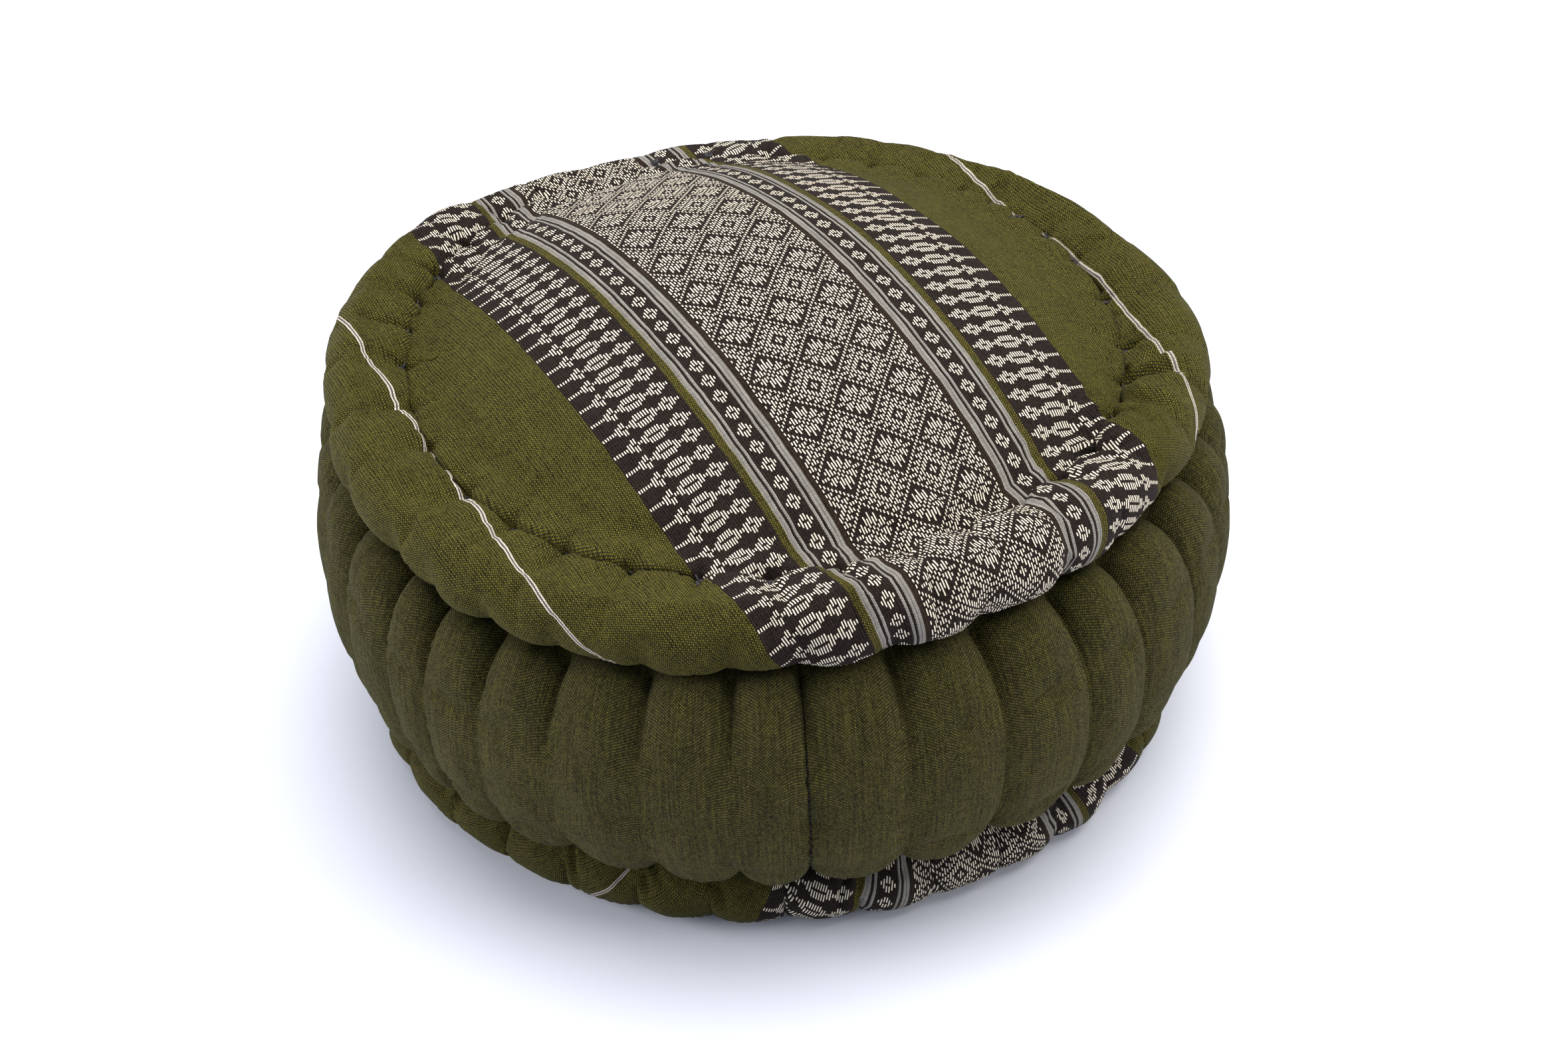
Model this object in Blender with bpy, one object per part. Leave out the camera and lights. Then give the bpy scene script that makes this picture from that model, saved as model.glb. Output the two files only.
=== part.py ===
"""Zafu: a round, tufted floor cushion of three cloth pieces, modelled where it stands on the floor.

The origin is on the floor under the middle of the cushion, +Z is up, and lengths are in metres.
Azimuths are in degrees, counted from +X towards +Y, so the front of the cushion is at 270.
"""

import math
from collections import namedtuple

import bmesh
import bpy

OBJECT_NAME = "zafu"

# The cloth, and the space that keeps one solid off the next
CLOTH_THICKNESS = 0.0025
CLEARANCE = 0.0003
BED_CLEARANCE = 0.0009
MERGE_DISTANCE = 0.000001

# The crowned top, inside the ring of tufting stitches
TUFT_RING_RADIUS = 0.150
TUFT_RING_HEIGHT = 0.1655
CROWN_RISE = 0.042
LEAN_TOWARDS_X = -0.043
LEAN_TOWARDS_Y = 0.019
CROWN_STATIONS = (0.0, 0.3, 0.58, 0.8, 0.93)
CROWN_LINING_STATIONS = (0.93, 0.7, 0.36, 0.0)

# The rolled rims of the top and the base
RIM_THICKNESS = 0.0163
RIM_DROP_FROM_TUFTS = 0.0047
BASE_RIM_THICKNESS = 0.017
BASE_RIM_HEIGHT = 0.0165
RIM_STATION_ANGLES = (140, 112, 84, 56, 28, 0, -28, -54, -80)
SEAM_TUCK = 0.0006

# The pleats that the tufting stitches draw into the rims
TUFT_PITCH = 10.0
TUFT_DIMPLE = 0.0022
TUFTS_FOLLOW_RIM = 0.5
PLEAT_RELIEF = 0.0022
COLUMNS_PER_TUFT = 3

# The base, flat where it rests on the floor
FLAT_RADIUS = 0.134
BASE_TUFT_HEIGHT = 0.006
BASE_LINING_STATIONS = (1.0, 0.6, 0.0)

# The side strip, gathered into both rims and swollen between its sewn channels
SEAM_REACH = 0.0028
SIDE_FULLNESS = 0.9
SIDE_STATION_ANGLES = (90, 71, 50, 25, 0, -25, -50, -71, -90)
CHANNEL_PITCH = 10.4
CHANNEL_DEPTH_UNSEEN = 0.005
CHANNEL_DEPTH_AT_SEAM = 0.5
CHANNEL_SHARPNESS = 0.6
COLUMNS_PER_CHANNEL = 4

# Colour, roughness and metallic value of each cloth
TOP_GREEN = (0.085, 0.088, 0.012, 1.0)
SIDE_OLIVE = (0.050, 0.047, 0.010, 1.0)
CLOTH_ROUGHNESS = 0.85
CLOTH_METALLIC = 0.0

Section = namedtuple("Section", "azimuth rim_radius rim_rise side_radius base_radius")
SECTIONS = (
    Section(0, 0.169, -0.001, 0.201, 0.161),
    Section(30, 0.162, 0.001, 0.204, 0.161),
    Section(60, 0.162, -0.003, 0.203, 0.165),
    Section(90, 0.163, -0.009, 0.200, 0.167),
    Section(120, 0.160, -0.010, 0.198, 0.164),
    Section(150, 0.165, -0.001, 0.197, 0.162),
    Section(180, 0.163, 0.005, 0.197, 0.165),
    Section(210, 0.166, -0.001, 0.198, 0.166),
    Section(240, 0.166, -0.005, 0.200, 0.162),
    Section(270, 0.165, 0.002, 0.201, 0.160),
    Section(300, 0.162, 0.006, 0.201, 0.162),
    Section(330, 0.162, 0.001, 0.199, 0.164),
)

Fold = namedtuple("Fold", "azimuth depth")
SEEN_CHANNELS = (
    Fold(195.5, 0.0050),
    Fold(206.0, 0.0050),
    Fold(217.5, 0.0048),
    Fold(225.0, 0.0042),
    Fold(234.0, 0.0040),
    Fold(243.5, 0.0036),
    Fold(254.5, 0.0032),
    Fold(264.5, 0.0022),
    Fold(272.8, 0.0026),
    Fold(283.8, 0.0036),
    Fold(295.5, 0.0052),
    Fold(307.8, 0.0062),
    Fold(318.2, 0.0062),
    Fold(330.8, 0.0056),
)
SEEN_TUFTS = (
    11.2, 23.0, 31.5, 39.2, 44.8, 51.5, 77.8,
    160.5, 169.2, 177.5, 187.2, 198.2, 208.2, 220.3, 230.0, 239.5, 249.8, 358.2,
)


def between_sections(column, azimuth):
    """A column of SECTIONS at any azimuth, on a smooth closed curve through its rows."""
    count = len(SECTIONS)
    place = (azimuth % 360) * count / 360
    row = int(place)
    part = place - row
    before, start, end, after = (
        getattr(SECTIONS[(row + step) % count], column) for step in (-1, 0, 1, 2)
    )
    slope_start = (end - before) / 2
    slope_end = (after - start) / 2
    rise = end - start
    curve = (slope_start + slope_end - 2 * rise) * part + 3 * rise - 2 * slope_start - slope_end
    return start + part * (slope_start + part * curve)


def all_round(seen, pitch):
    """The azimuths seen in one view, with even ones added in each wide gap between them."""
    azimuths = []
    for start, end in zip(seen, seen[1:] + (seen[0] + 360,)):
        steps = max(1, round((end - start) / pitch))
        azimuths += [start + (end - start) * step / steps for step in range(steps)]
    return azimuths


def columns_between(azimuths, parts):
    """The azimuth of each column of points, and how far it is, 0 to 1, from one fold to the next."""
    columns = []
    for start, end in zip(azimuths, azimuths[1:] + [azimuths[0] + 360]):
        columns += [(start + (end - start) * part / parts, part / parts) for part in range(parts)]
    return columns


def top_height(radius, azimuth):
    """Height of the level through the tufts: it leans, as the filling is uneven."""
    turn = math.radians(azimuth)
    lean = LEAN_TOWARDS_X * math.cos(turn) + LEAN_TOWARDS_Y * math.sin(turn)
    return TUFT_RING_HEIGHT + radius * lean


def crown_point(share, azimuth, below=0.0):
    """A point of the crowned top at a share of the tuft ring's radius, or this far below it."""
    radius = share * TUFT_RING_RADIUS
    height = top_height(radius, azimuth) + CROWN_RISE * (1 - share**2)
    return radius, height - below


def rim_centre(azimuth):
    radius = between_sections("rim_radius", azimuth)
    rise = between_sections("rim_rise", azimuth)
    return radius, top_height(TUFT_RING_RADIUS, azimuth) - RIM_DROP_FROM_TUFTS + rise


def rim_points(centre, thickness, pleat, floor_side):
    """The round of a rolled rim from its tufts to its seam, swollen between the pleats."""
    radius, height = centre
    points = []
    for angle in RIM_STATION_ANGLES:
        fade = (angle - RIM_STATION_ANGLES[-1]) / (RIM_STATION_ANGLES[0] - RIM_STATION_ANGLES[-1])
        swell = thickness + PLEAT_RELIEF * fade * (math.sin(math.pi * pleat) - 0.5)
        turn = math.radians(angle)
        rise = -swell * math.sin(turn) if floor_side else swell * math.sin(turn)
        points.append((radius + swell * math.cos(turn), max(0.0, height + rise)))
    return points


def tuft_point(azimuth, pleat):
    """The line of the tufting stitches, deepest at each stitch."""
    bridge = math.sin(math.pi * pleat)
    rise = TUFTS_FOLLOW_RIM * between_sections("rim_rise", azimuth)
    height = top_height(TUFT_RING_RADIUS, azimuth) + rise - TUFT_DIMPLE * (1 - bridge)
    return TUFT_RING_RADIUS, height


def rim_bed(azimuth, below=0.0):
    """The two ends of the sloping bed on which the top rim lies: under the tufts, and at the seam."""
    radius, height = rim_centre(azimuth)
    tuft_radius, tuft_height = tuft_point(azimuth, pleat=0)
    inner = (tuft_radius, tuft_height - CLOTH_THICKNESS - below)
    outer = (radius + SEAM_REACH, height - RIM_THICKNESS - below)
    return inner, outer


def base_bed(azimuth, above=0.0):
    """The same bed for the base rim, at this height above it."""
    radius = between_sections("base_radius", azimuth)
    inner = (TUFT_RING_RADIUS, BASE_TUFT_HEIGHT + CLOTH_THICKNESS + above)
    outer = (radius + SEAM_REACH, BASE_RIM_HEIGHT + BASE_RIM_THICKNESS + above)
    return inner, outer


def along_bed(bed, radius):
    """The point of a bed at this radius, on the line through its two ends."""
    (inner_radius, inner_height), (outer_radius, outer_height) = bed
    share = (radius - inner_radius) / (outer_radius - inner_radius)
    return radius, inner_height + share * (outer_height - inner_height)


def top_panel_section(azimuth, pleat):
    """Over the crown, down at the tufts, round the rim to its seam, and back along the inside."""
    crown = [crown_point(share, azimuth) for share in CROWN_STATIONS]
    rim = rim_points(rim_centre(azimuth), RIM_THICKNESS, pleat, floor_side=False)
    bed_inner, bed_outer = rim_bed(azimuth)
    lining = [crown_point(share, azimuth, CLOTH_THICKNESS) for share in CROWN_LINING_STATIONS]
    return crown + [tuft_point(azimuth, pleat)] + rim + [bed_outer, bed_inner] + lining


def base_panel_section(azimuth, pleat):
    """The same panel turned over, and pressed flat on the floor by the cushion's weight."""
    lining = [(share * FLAT_RADIUS, CLOTH_THICKNESS) for share in reversed(BASE_LINING_STATIONS)]
    bed_inner, bed_outer = base_bed(azimuth)
    centre = (between_sections("base_radius", azimuth), BASE_RIM_HEIGHT)
    rim = rim_points(centre, BASE_RIM_THICKNESS, pleat, floor_side=True)
    tuft = (TUFT_RING_RADIUS, BASE_TUFT_HEIGHT - TUFT_DIMPLE * math.sin(math.pi * pleat))
    return lining + [bed_inner, bed_outer] + rim[::-1] + [tuft, (FLAT_RADIUS, 0.0), (0.0, 0.0)]


def body_section(azimuth, part):
    """The filled body: crowned on top, drawn in at both seams, swollen between its channels."""
    groove = channel_depth(azimuth) * (1 - math.sin(math.pi * part) ** CHANNEL_SHARPNESS)
    crown_below = CLOTH_THICKNESS + CLEARANCE
    crown = [crown_point(share, azimuth, crown_below) for share in reversed(CROWN_LINING_STATIONS)]
    top_bed = rim_bed(azimuth, below=BED_CLEARANCE)
    floor_bed = base_bed(azimuth, above=BED_CLEARANCE)
    seam_groove = groove * CHANNEL_DEPTH_AT_SEAM
    top_seam = along_bed(top_bed, top_bed[1][0] - seam_groove)
    floor_seam = along_bed(floor_bed, floor_bed[1][0] - seam_groove)
    side = side_points(azimuth, groove, top_bed[1], floor_bed[1])
    base_lining = CLOTH_THICKNESS + CLEARANCE
    base = [(share * FLAT_RADIUS, base_lining) for share in BASE_LINING_STATIONS]
    return crown + [top_bed[0], top_seam] + side + [floor_seam, floor_bed[0]] + base


def side_points(azimuth, groove, top_seam, floor_seam):
    """The swollen side of one section, from under the top rim down to over the base rim."""
    high = top_seam[1] - SEAM_TUCK
    low = floor_seam[1] + SEAM_TUCK
    points = []
    for angle in SIDE_STATION_ANGLES:
        turn = math.radians(angle)
        seam_radius = top_seam[0] if angle >= 0 else floor_seam[0]
        swell = abs(math.cos(turn)) ** SIDE_FULLNESS
        rise = math.copysign(abs(math.sin(turn)) ** SIDE_FULLNESS, turn)
        reach = (between_sections("side_radius", azimuth) - seam_radius) * swell
        depth = groove * (CHANNEL_DEPTH_AT_SEAM + (1 - CHANNEL_DEPTH_AT_SEAM) * swell)
        points.append((seam_radius + reach - depth, (high + low) / 2 + rise * (high - low) / 2))
    return points


def channel_depth(azimuth):
    """Depth of the channels near this azimuth: as seen, and even where they are out of sight."""
    rows = SEEN_CHANNELS
    for start, end in zip(rows, rows[1:]):
        if start.azimuth <= azimuth % 360 <= end.azimuth:
            share = (azimuth % 360 - start.azimuth) / (end.azimuth - start.azimuth)
            return start.depth + share * (end.depth - start.depth)
    return CHANNEL_DEPTH_UNSEEN


def turned_solid(name, section, columns, material):
    """Spins one section about Z, then sets each column of points to the section at its azimuth."""
    sections = [section(azimuth, part) for azimuth, part in columns]
    shape = bmesh.new()
    station_of = shape.verts.layers.int.new("station")
    chain = []
    for station, (radius, height) in enumerate(sections[0]):
        point = shape.verts.new((radius, 0.0, height))
        point[station_of] = station
        chain.append(point)
    edges = [shape.edges.new(pair) for pair in zip(chain, chain[1:])]
    bmesh.ops.spin(
        shape, geom=chain + edges, cent=(0, 0, 0), axis=(0, 0, 1),
        angle=math.tau, steps=len(columns), use_merge=True,
    )
    last = len(chain) - 1
    for point in shape.verts:
        station = point[station_of]
        turn = math.atan2(point.co.y, point.co.x) % math.tau
        column = round(turn * len(columns) / math.tau) % len(columns)
        radius, height = sections[column][station]
        azimuth = math.radians(columns[column][0])
        on_axis = station in (0, last)
        radius = 0.0 if on_axis else radius
        point.co = (radius * math.cos(azimuth), radius * math.sin(azimuth), height)
    bmesh.ops.remove_doubles(shape, verts=shape.verts, dist=MERGE_DISTANCE)
    bmesh.ops.recalc_face_normals(shape, faces=shape.faces)
    mesh = bpy.data.meshes.new(name)
    shape.to_mesh(mesh)
    shape.free()
    mesh.shade_smooth()
    mesh.materials.append(material)
    return bpy.data.objects.new(name, mesh)


def cloth_material(name, colour):
    material = bpy.data.materials.new(name)
    material.use_nodes = True
    shader = material.node_tree.nodes["Principled BSDF"]
    shader.inputs["Base Color"].default_value = colour
    shader.inputs["Roughness"].default_value = CLOTH_ROUGHNESS
    shader.inputs["Metallic"].default_value = CLOTH_METALLIC
    return material


def main():
    for old in list(bpy.data.objects):
        bpy.data.objects.remove(old)
    pieces = bpy.data.collections.new(OBJECT_NAME)
    bpy.context.scene.collection.children.link(pieces)
    top_cloth = cloth_material("banded_cloth", TOP_GREEN)
    side_cloth = cloth_material("plain_cloth", SIDE_OLIVE)
    tufts = columns_between(all_round(SEEN_TUFTS, TUFT_PITCH), COLUMNS_PER_TUFT)
    seen = tuple(channel.azimuth for channel in SEEN_CHANNELS)
    channels = columns_between(all_round(seen, CHANNEL_PITCH), COLUMNS_PER_CHANNEL)
    pieces.objects.link(turned_solid("top_panel", top_panel_section, tufts, top_cloth))
    pieces.objects.link(turned_solid("cushion_body", body_section, channels, side_cloth))
    pieces.objects.link(turned_solid("base_panel", base_panel_section, tufts, top_cloth))


main()
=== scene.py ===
"""Looks of the zafu: cloth, tufting, sewing, stage and camera, laid out as an add-on.

Lengths are in metres unless a name ends in _mm. Azimuths are in degrees, from +X towards +Y.
"""

import math
import random

import bpy
from mathutils import Matrix, Vector, noise


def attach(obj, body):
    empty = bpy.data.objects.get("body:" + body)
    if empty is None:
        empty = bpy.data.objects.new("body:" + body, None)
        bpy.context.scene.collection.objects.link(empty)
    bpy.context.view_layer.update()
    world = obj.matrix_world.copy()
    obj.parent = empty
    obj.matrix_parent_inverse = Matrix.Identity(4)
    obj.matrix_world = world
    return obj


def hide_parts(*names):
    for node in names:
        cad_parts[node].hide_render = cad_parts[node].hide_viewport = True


bl_info = {
    "name": "Zafu cushion",
    "version": (1, 0, 0),
    "blender": (4, 5, 0),
    "location": "3D View > Sidebar > Zafu",
    "description": "Dresses the zafu's packed frame in its woven, tufted and gathered cloth",
    "category": "Object",
}

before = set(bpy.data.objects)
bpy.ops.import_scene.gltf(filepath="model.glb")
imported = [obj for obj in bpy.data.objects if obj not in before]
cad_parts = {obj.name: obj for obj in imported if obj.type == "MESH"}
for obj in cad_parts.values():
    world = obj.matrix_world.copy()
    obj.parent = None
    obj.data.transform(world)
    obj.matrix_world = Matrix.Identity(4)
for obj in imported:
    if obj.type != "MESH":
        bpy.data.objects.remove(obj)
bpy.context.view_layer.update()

MM = 0.001

# The frame's own measures, which the cloth follows
CLOTH_THICKNESS = 0.0025
CLEARANCE = 0.0003
BED_CLEARANCE = 0.0009
TUFT_RING_RADIUS = 0.150
TUFT_RING_HEIGHT = 0.1655
LEAN_TOWARDS_X = -0.043
LEAN_TOWARDS_Y = 0.019
RIM_DROP_FROM_TUFTS = 0.0047
BASE_RIM_HEIGHT = 0.0165
TUFTS_FOLLOW_RIM = 0.5
FLAT_RADIUS = 0.134
FLAT_SHARES = (1.0, 0.6, 0.0)
BASE_TUFT_HEIGHT = 0.006
SEAM_REACH = 0.0028
SEAM_TUCK = 0.0006
SIDE_FULLNESS = 0.9
TUFT_PITCH = 10.0
CHANNEL_PITCH = 10.4
CHANNEL_DEPTH_UNSEEN = 0.0044
RIM_FIRST_ANGLE = 140
RIM_LAST_ANGLE = -80
CLOSING_SEAM_AZIMUTH = 272.8
CLOSING_GAP_MM = 0.4
# Painted shade down the closing seam's gap: how much darker the side's cloth is painted there
CLOSING_PAINTED_SHADE = 0.8

# azimuth, radius of the rim's centre, its rise, the side's radius, radius of the base rim's
# centre, how far the rim's pleats run across it, how full the cloth stays between two tufts,
# and how far the rim slopes evenly up from the tufts instead of standing over them
SECTIONS = (
    (0, 0.169, -0.001, 0.201, 0.161, 0.5, 0.9, 0.4),
    (30, 0.162, 0.001, 0.204, 0.161, 0.05, 1.5, 0.95),
    (60, 0.162, -0.003, 0.203, 0.165, 0.15, 1.5, 0.95),
    (90, 0.163, -0.009, 0.200, 0.167, 0.3, 1.4, 0.6),
    (120, 0.160, -0.010, 0.198, 0.164, 0.4, 1.4, 0.5),
    (150, 0.165, -0.001, 0.197, 0.162, 0.5, 1.2, 0.5),
    (180, 0.163, 0.005, 0.197, 0.165, 0.45, 1.4, 0.8),
    (210, 0.166, -0.001, 0.198, 0.166, 0.25, 1.7, 1.0),
    (240, 0.166, -0.005, 0.200, 0.162, 0.15, 1.8, 1.0),
    (270, 0.165, 0.002, 0.201, 0.160, 0.5, 1.4, 0.6),
    (300, 0.162, 0.006, 0.201, 0.162, 0.6, 1.0, 0.3),
    (330, 0.162, 0.001, 0.199, 0.164, 0.8, 0.9, 0.3),
)
RIM_RADIUS, RIM_RISE, SIDE_RADIUS, BASE_RADIUS, PLEAT_REACH, BRIDGING, SLOPING = range(1, 8)

# Large folds of the top: azimuth, way past the tufts, angle from straight out, half-length,
# depth and width
LARGE_FOLDS = (
    (349.0, 0.012, 10, 0.022, 0.0030, 0.0032), (341.0, 0.012, -20, 0.022, 0.0030, 0.0032),
    (345.0, 0.006, 85, 0.012, 0.0018, 0.0022), (353.0, 0.014, 40, 0.016, 0.0024, 0.0027),
    (46.0, 0.012, 6, 0.015, 0.0022, 0.0034), (337.0, 0.016, -38, 0.014, 0.0020, 0.0026),
    (331.0, -0.006, -8, 0.014, 0.0020, 0.0018), (327.0, -0.006, 24, 0.013, 0.0018, 0.0019),
    (334.5, -0.007, -34, 0.012, 0.0015, 0.0018), (329.0, 0.012, 40, 0.014, 0.0022, 0.0024),
    (268.0, -0.0035, 84, 0.024, 0.0018, 0.0017), (266.5, 0.0012, 97, 0.020, 0.0018, 0.0016),
    (271.0, 0.0056, 88, 0.020, 0.0014, 0.0017), (262.0, 0.0090, 74, 0.012, 0.0011, 0.0018),
    (157.0, 0.0035, -68, 0.010, 0.0022, 0.0022), (165.7, 0.0035, -68, 0.010, 0.0022, 0.0022),
    (174.0, 0.0035, -66, 0.010, 0.0020, 0.0021), (184.0, 0.0035, -64, 0.009, 0.0014, 0.0020),
    (292.0, 0.0050, 82, 0.014, 0.0014, 0.0018), (313.0, 0.0040, 96, 0.014, 0.0015, 0.0018),
)

# azimuth of each sewn channel in view, and its depth half-way up
CHANNELS = (
    (195.5, 0.0044), (206.0, 0.0044), (217.5, 0.0036), (225.0, 0.0028), (234.0, 0.0020),
    (243.5, 0.0014), (254.5, 0.0012), (264.5, 0.0006), (272.8, 0.0010), (283.8, 0.0020),
    (295.5, 0.0042), (307.8, 0.0052), (318.2, 0.0054), (330.8, 0.0050),
)
TUFTS_IN_VIEW = (
    11.2, 23.0, 31.5, 39.2, 44.8, 51.5, 77.8,
    160.5, 169.2, 177.5, 187.2, 198.2, 208.2, 220.3, 230.0, 239.5, 249.8, 358.2,
)

# Where the band lies: azimuth of the direction across it, on the top and on the base
TOP_ACROSS_AZIMUTH = 29.3
BASE_ACROSS_AZIMUTH = 26.0


def length_of(name, description, default):
    return bpy.props.FloatProperty(
        name=name, description=description, default=default, min=0, unit="LENGTH")


def repeat_of(name, description, default):
    return bpy.props.FloatProperty(name=name, description=description, default=default, min=0.1)


def colour_of(name, description, *shares):
    return bpy.props.FloatVectorProperty(
        name=name, description=description, default=shares + (1.0,),
        subtype="COLOR", size=4, min=0, max=1)


class ZafuShape(bpy.types.PropertyGroup):
    """Sizes of the stuffed and gathered forms."""

    crown_rise: length_of("Crown rise", "Height of the crown over the tufts", 0.042)
    rim_thickness: length_of("Rim thickness", "Radius of the rolled rim of the top", 0.0163)
    base_rim_thickness: length_of(
        "Base rim thickness", "Radius of the rolled rim of the base", 0.017)
    pit_depth: length_of("Pit depth", "How far a tufting stitch draws the cloth down", 0.0046)
    bridge_height: length_of(
        "Bridge height", "How far the cloth stays up between two tufts", 0.0030)
    lobe_relief: length_of("Lobe relief", "Swelling of the rim between two pleats", 0.0026)
    crease_depth: length_of(
        "Crease depth", "Depth of the small creases that run out of a tuft", 0.0012)
    lump_height: length_of("Lump height", "Unevenness of the filling", 0.0011)
    pinch_depth: length_of("Pinch depth", "How far a channel is pinched in at the seams", 0.0046)
    edge_wave: length_of(
        "Edge wave", "How far the rim's outer edge is drawn in at the channels", 0.0022)
    puff_height: length_of("Puff height", "Swelling between two pinches", 0.0042)


class ZafuWeave(bpy.types.PropertyGroup):
    """Repeats of the weave, in millimetres along or across the threads."""

    column_mm: repeat_of("Float column", "Pitch of the columns of floats", 1.17)
    flower_mm: repeat_of("Flower repeat", "Repeat of the field along the band", 26.8)
    spear_mm: repeat_of("Spear repeat", "Repeat of the spears and rings along the band", 9.38)
    thread_mm: repeat_of("Thread", "Pitch of the ground's threads", 0.585)


class ZafuColours(bpy.types.PropertyGroup):
    """Colours of the yarns and of the floor."""

    green: colour_of("Green warp", "Warp of the plain green cloth", 0.102, 0.091, 0.012)
    green_weft: colour_of(
        "Green weft", "Weft that shows between the green warps", 0.018, 0.015, 0.009)
    side_warp: colour_of("Side warp", "Warp of the side strip", 0.104, 0.097, 0.016)
    side_slub: colour_of(
        "Side slub", "Browner warp that runs in streaks down the side strip", 0.102, 0.084, 0.022)
    side_weft: colour_of("Side weft", "Weft of the side strip", 0.019, 0.016, 0.009)
    cream: colour_of("Cream", "Patterning yarn", 0.94, 0.84, 0.67)
    stripe: colour_of("Pale stripe", "Warp of the pale stripes in the band", 0.31, 0.29, 0.255)
    fine_stripe: colour_of(
        "Fine stripe", "Warp of the fine pale stripes on green", 0.64, 0.57, 0.48)
    stripe_middle: colour_of(
        "Stripe's line", "Darker warp thread down a pale stripe", 0.13, 0.11, 0.105)
    dark: colour_of("Dark ground", "Warp of the band's ground", 0.013, 0.010, 0.011)
    brown: colour_of("Brown stripe", "Warp of the brown stripes", 0.026, 0.017, 0.011)
    thread: colour_of("Tufting thread", "Thread of the tufts", 0.075, 0.068, 0.072)
    floor: colour_of("Floor", "Pale floor and backdrop", 0.87, 0.885, 0.975)


class Value:
    """A socket's value in a shader. Arithmetic on it adds the Math nodes that work it out."""

    def __init__(self, sheet, socket):
        self.sheet = sheet
        self.socket = socket

    def __add__(self, other):
        return self.sheet.math("ADD", self, other)

    __radd__ = __add__

    def __sub__(self, other):
        return self.sheet.math("SUBTRACT", self, other)

    def __rsub__(self, other):
        return self.sheet.math("SUBTRACT", other, self)

    def __mul__(self, other):
        return self.sheet.math("MULTIPLY", self, other)

    __rmul__ = __mul__

    def __truediv__(self, other):
        return self.sheet.math("DIVIDE", self, other)

    def __mod__(self, other):
        return self.sheet.math("FLOORED_MODULO", self, other)

    def __rpow__(self, other):
        return self.sheet.math("POWER", other, self)

    def __gt__(self, other):
        return self.sheet.math("GREATER_THAN", self, other)

    def __lt__(self, other):
        return self.sheet.math("LESS_THAN", self, other)

    def __abs__(self):
        return self.sheet.math("ABSOLUTE", self)

    def between(self, low, high):
        return (self > low) * (self < high)

    def at_most(self, other):
        return self.sheet.math("MINIMUM", self, other)

    def at_least(self, other):
        return self.sheet.math("MAXIMUM", self, other)

    def as_share(self):
        return self.at_most(1).at_least(0)

    def ramp_up(self, low, high):
        """0 below low, 1 above high, and a smooth rise between them."""
        return self.sheet.node(
            "ShaderNodeMapRange", {"interpolation_type": "SMOOTHSTEP"},
            {"Value": self, "From Min": low, "From Max": high})


class Sheet:
    """The nodes of one material."""

    def __init__(self, name):
        self.material = bpy.data.materials.new(name)
        self.material.use_nodes = True
        self.tree = self.material.node_tree
        self.shader = self.tree.nodes["Principled BSDF"]

    def node(self, kind, settings=None, sockets=None, output=0):
        made = self.tree.nodes.new(kind)
        for key, setting in (settings or {}).items():
            setattr(made, key, setting)
        for key, value in (sockets or {}).items():
            self.join(value, made.inputs[key])
        return Value(self, made.outputs[output])

    def join(self, value, place):
        if isinstance(value, Value):
            self.tree.links.new(value.socket, place)
        else:
            place.default_value = value

    def math(self, operation, *values):
        return self.node("ShaderNodeMath", {"operation": operation}, dict(enumerate(values)))

    def mix(self, share, first, second):
        """Two colours mixed; the second shows where the share is 1."""
        return self.node(
            "ShaderNodeMix", {"data_type": "RGBA"}, {0: share, 6: first, 7: second}, output=2)

    def scaled(self, colour, share):
        """A colour made lighter or darker."""
        return self.node(
            "ShaderNodeVectorMath", {"operation": "SCALE"}, {0: colour, "Scale": share})

    def steps(self, place, stops):
        """A stepped ramp's colour at a place from 0 to 1."""
        made = self.tree.nodes.new("ShaderNodeValToRGB")
        ramp = made.color_ramp
        ramp.interpolation = "CONSTANT"
        ramp.elements.remove(ramp.elements[1])
        ramp.elements[0].position = stops[0][0]
        ramp.elements[0].color = stops[0][1]
        for position, colour in stops[1:]:
            ramp.elements.new(position).color = colour
        self.join(place, made.inputs[0])
        return Value(self, made.outputs[0])

    def parts(self, vector):
        """The three numbers of a vector or colour."""
        split = self.tree.nodes.new("ShaderNodeSeparateXYZ")
        self.join(vector, split.inputs[0])
        return [Value(self, output) for output in split.outputs]

    def vector(self, x, y, z=0.0):
        return self.node("ShaderNodeCombineXYZ", sockets={0: x, 1: y, 2: z})

    def noise(self, vector, scale, detail=2.0):
        """Soft noise about 0.5, the same wherever it is used."""
        return self.node(
            "ShaderNodeTexNoise", sockets={"Vector": vector, "Scale": scale, "Detail": detail})

    def speckle(self, x, y):
        """A number from 0 to 1 of its own for each pair of whole numbers."""
        return self.node(
            "ShaderNodeTexWhiteNoise", {"noise_dimensions": "2D"}, {"Vector": self.vector(x, y)})

    def attribute(self, name):
        return self.node("ShaderNodeAttribute", {"attribute_name": name}, output=1)

    def finish(self, colour, roughness, height, bump_distance, sheen):
        shader = self.shader
        self.join(colour, shader.inputs["Base Color"])
        self.join(roughness, shader.inputs["Roughness"])
        shader.inputs["Sheen Weight"].default_value = sheen
        shader.inputs["Sheen Roughness"].default_value = 0.4
        shader.inputs["Specular IOR Level"].default_value = 0.08
        bump = self.node(
            "ShaderNodeBump", sockets={"Height": height, "Distance": bump_distance})
        self.join(bump, shader.inputs["Normal"])
        return self.material


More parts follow.
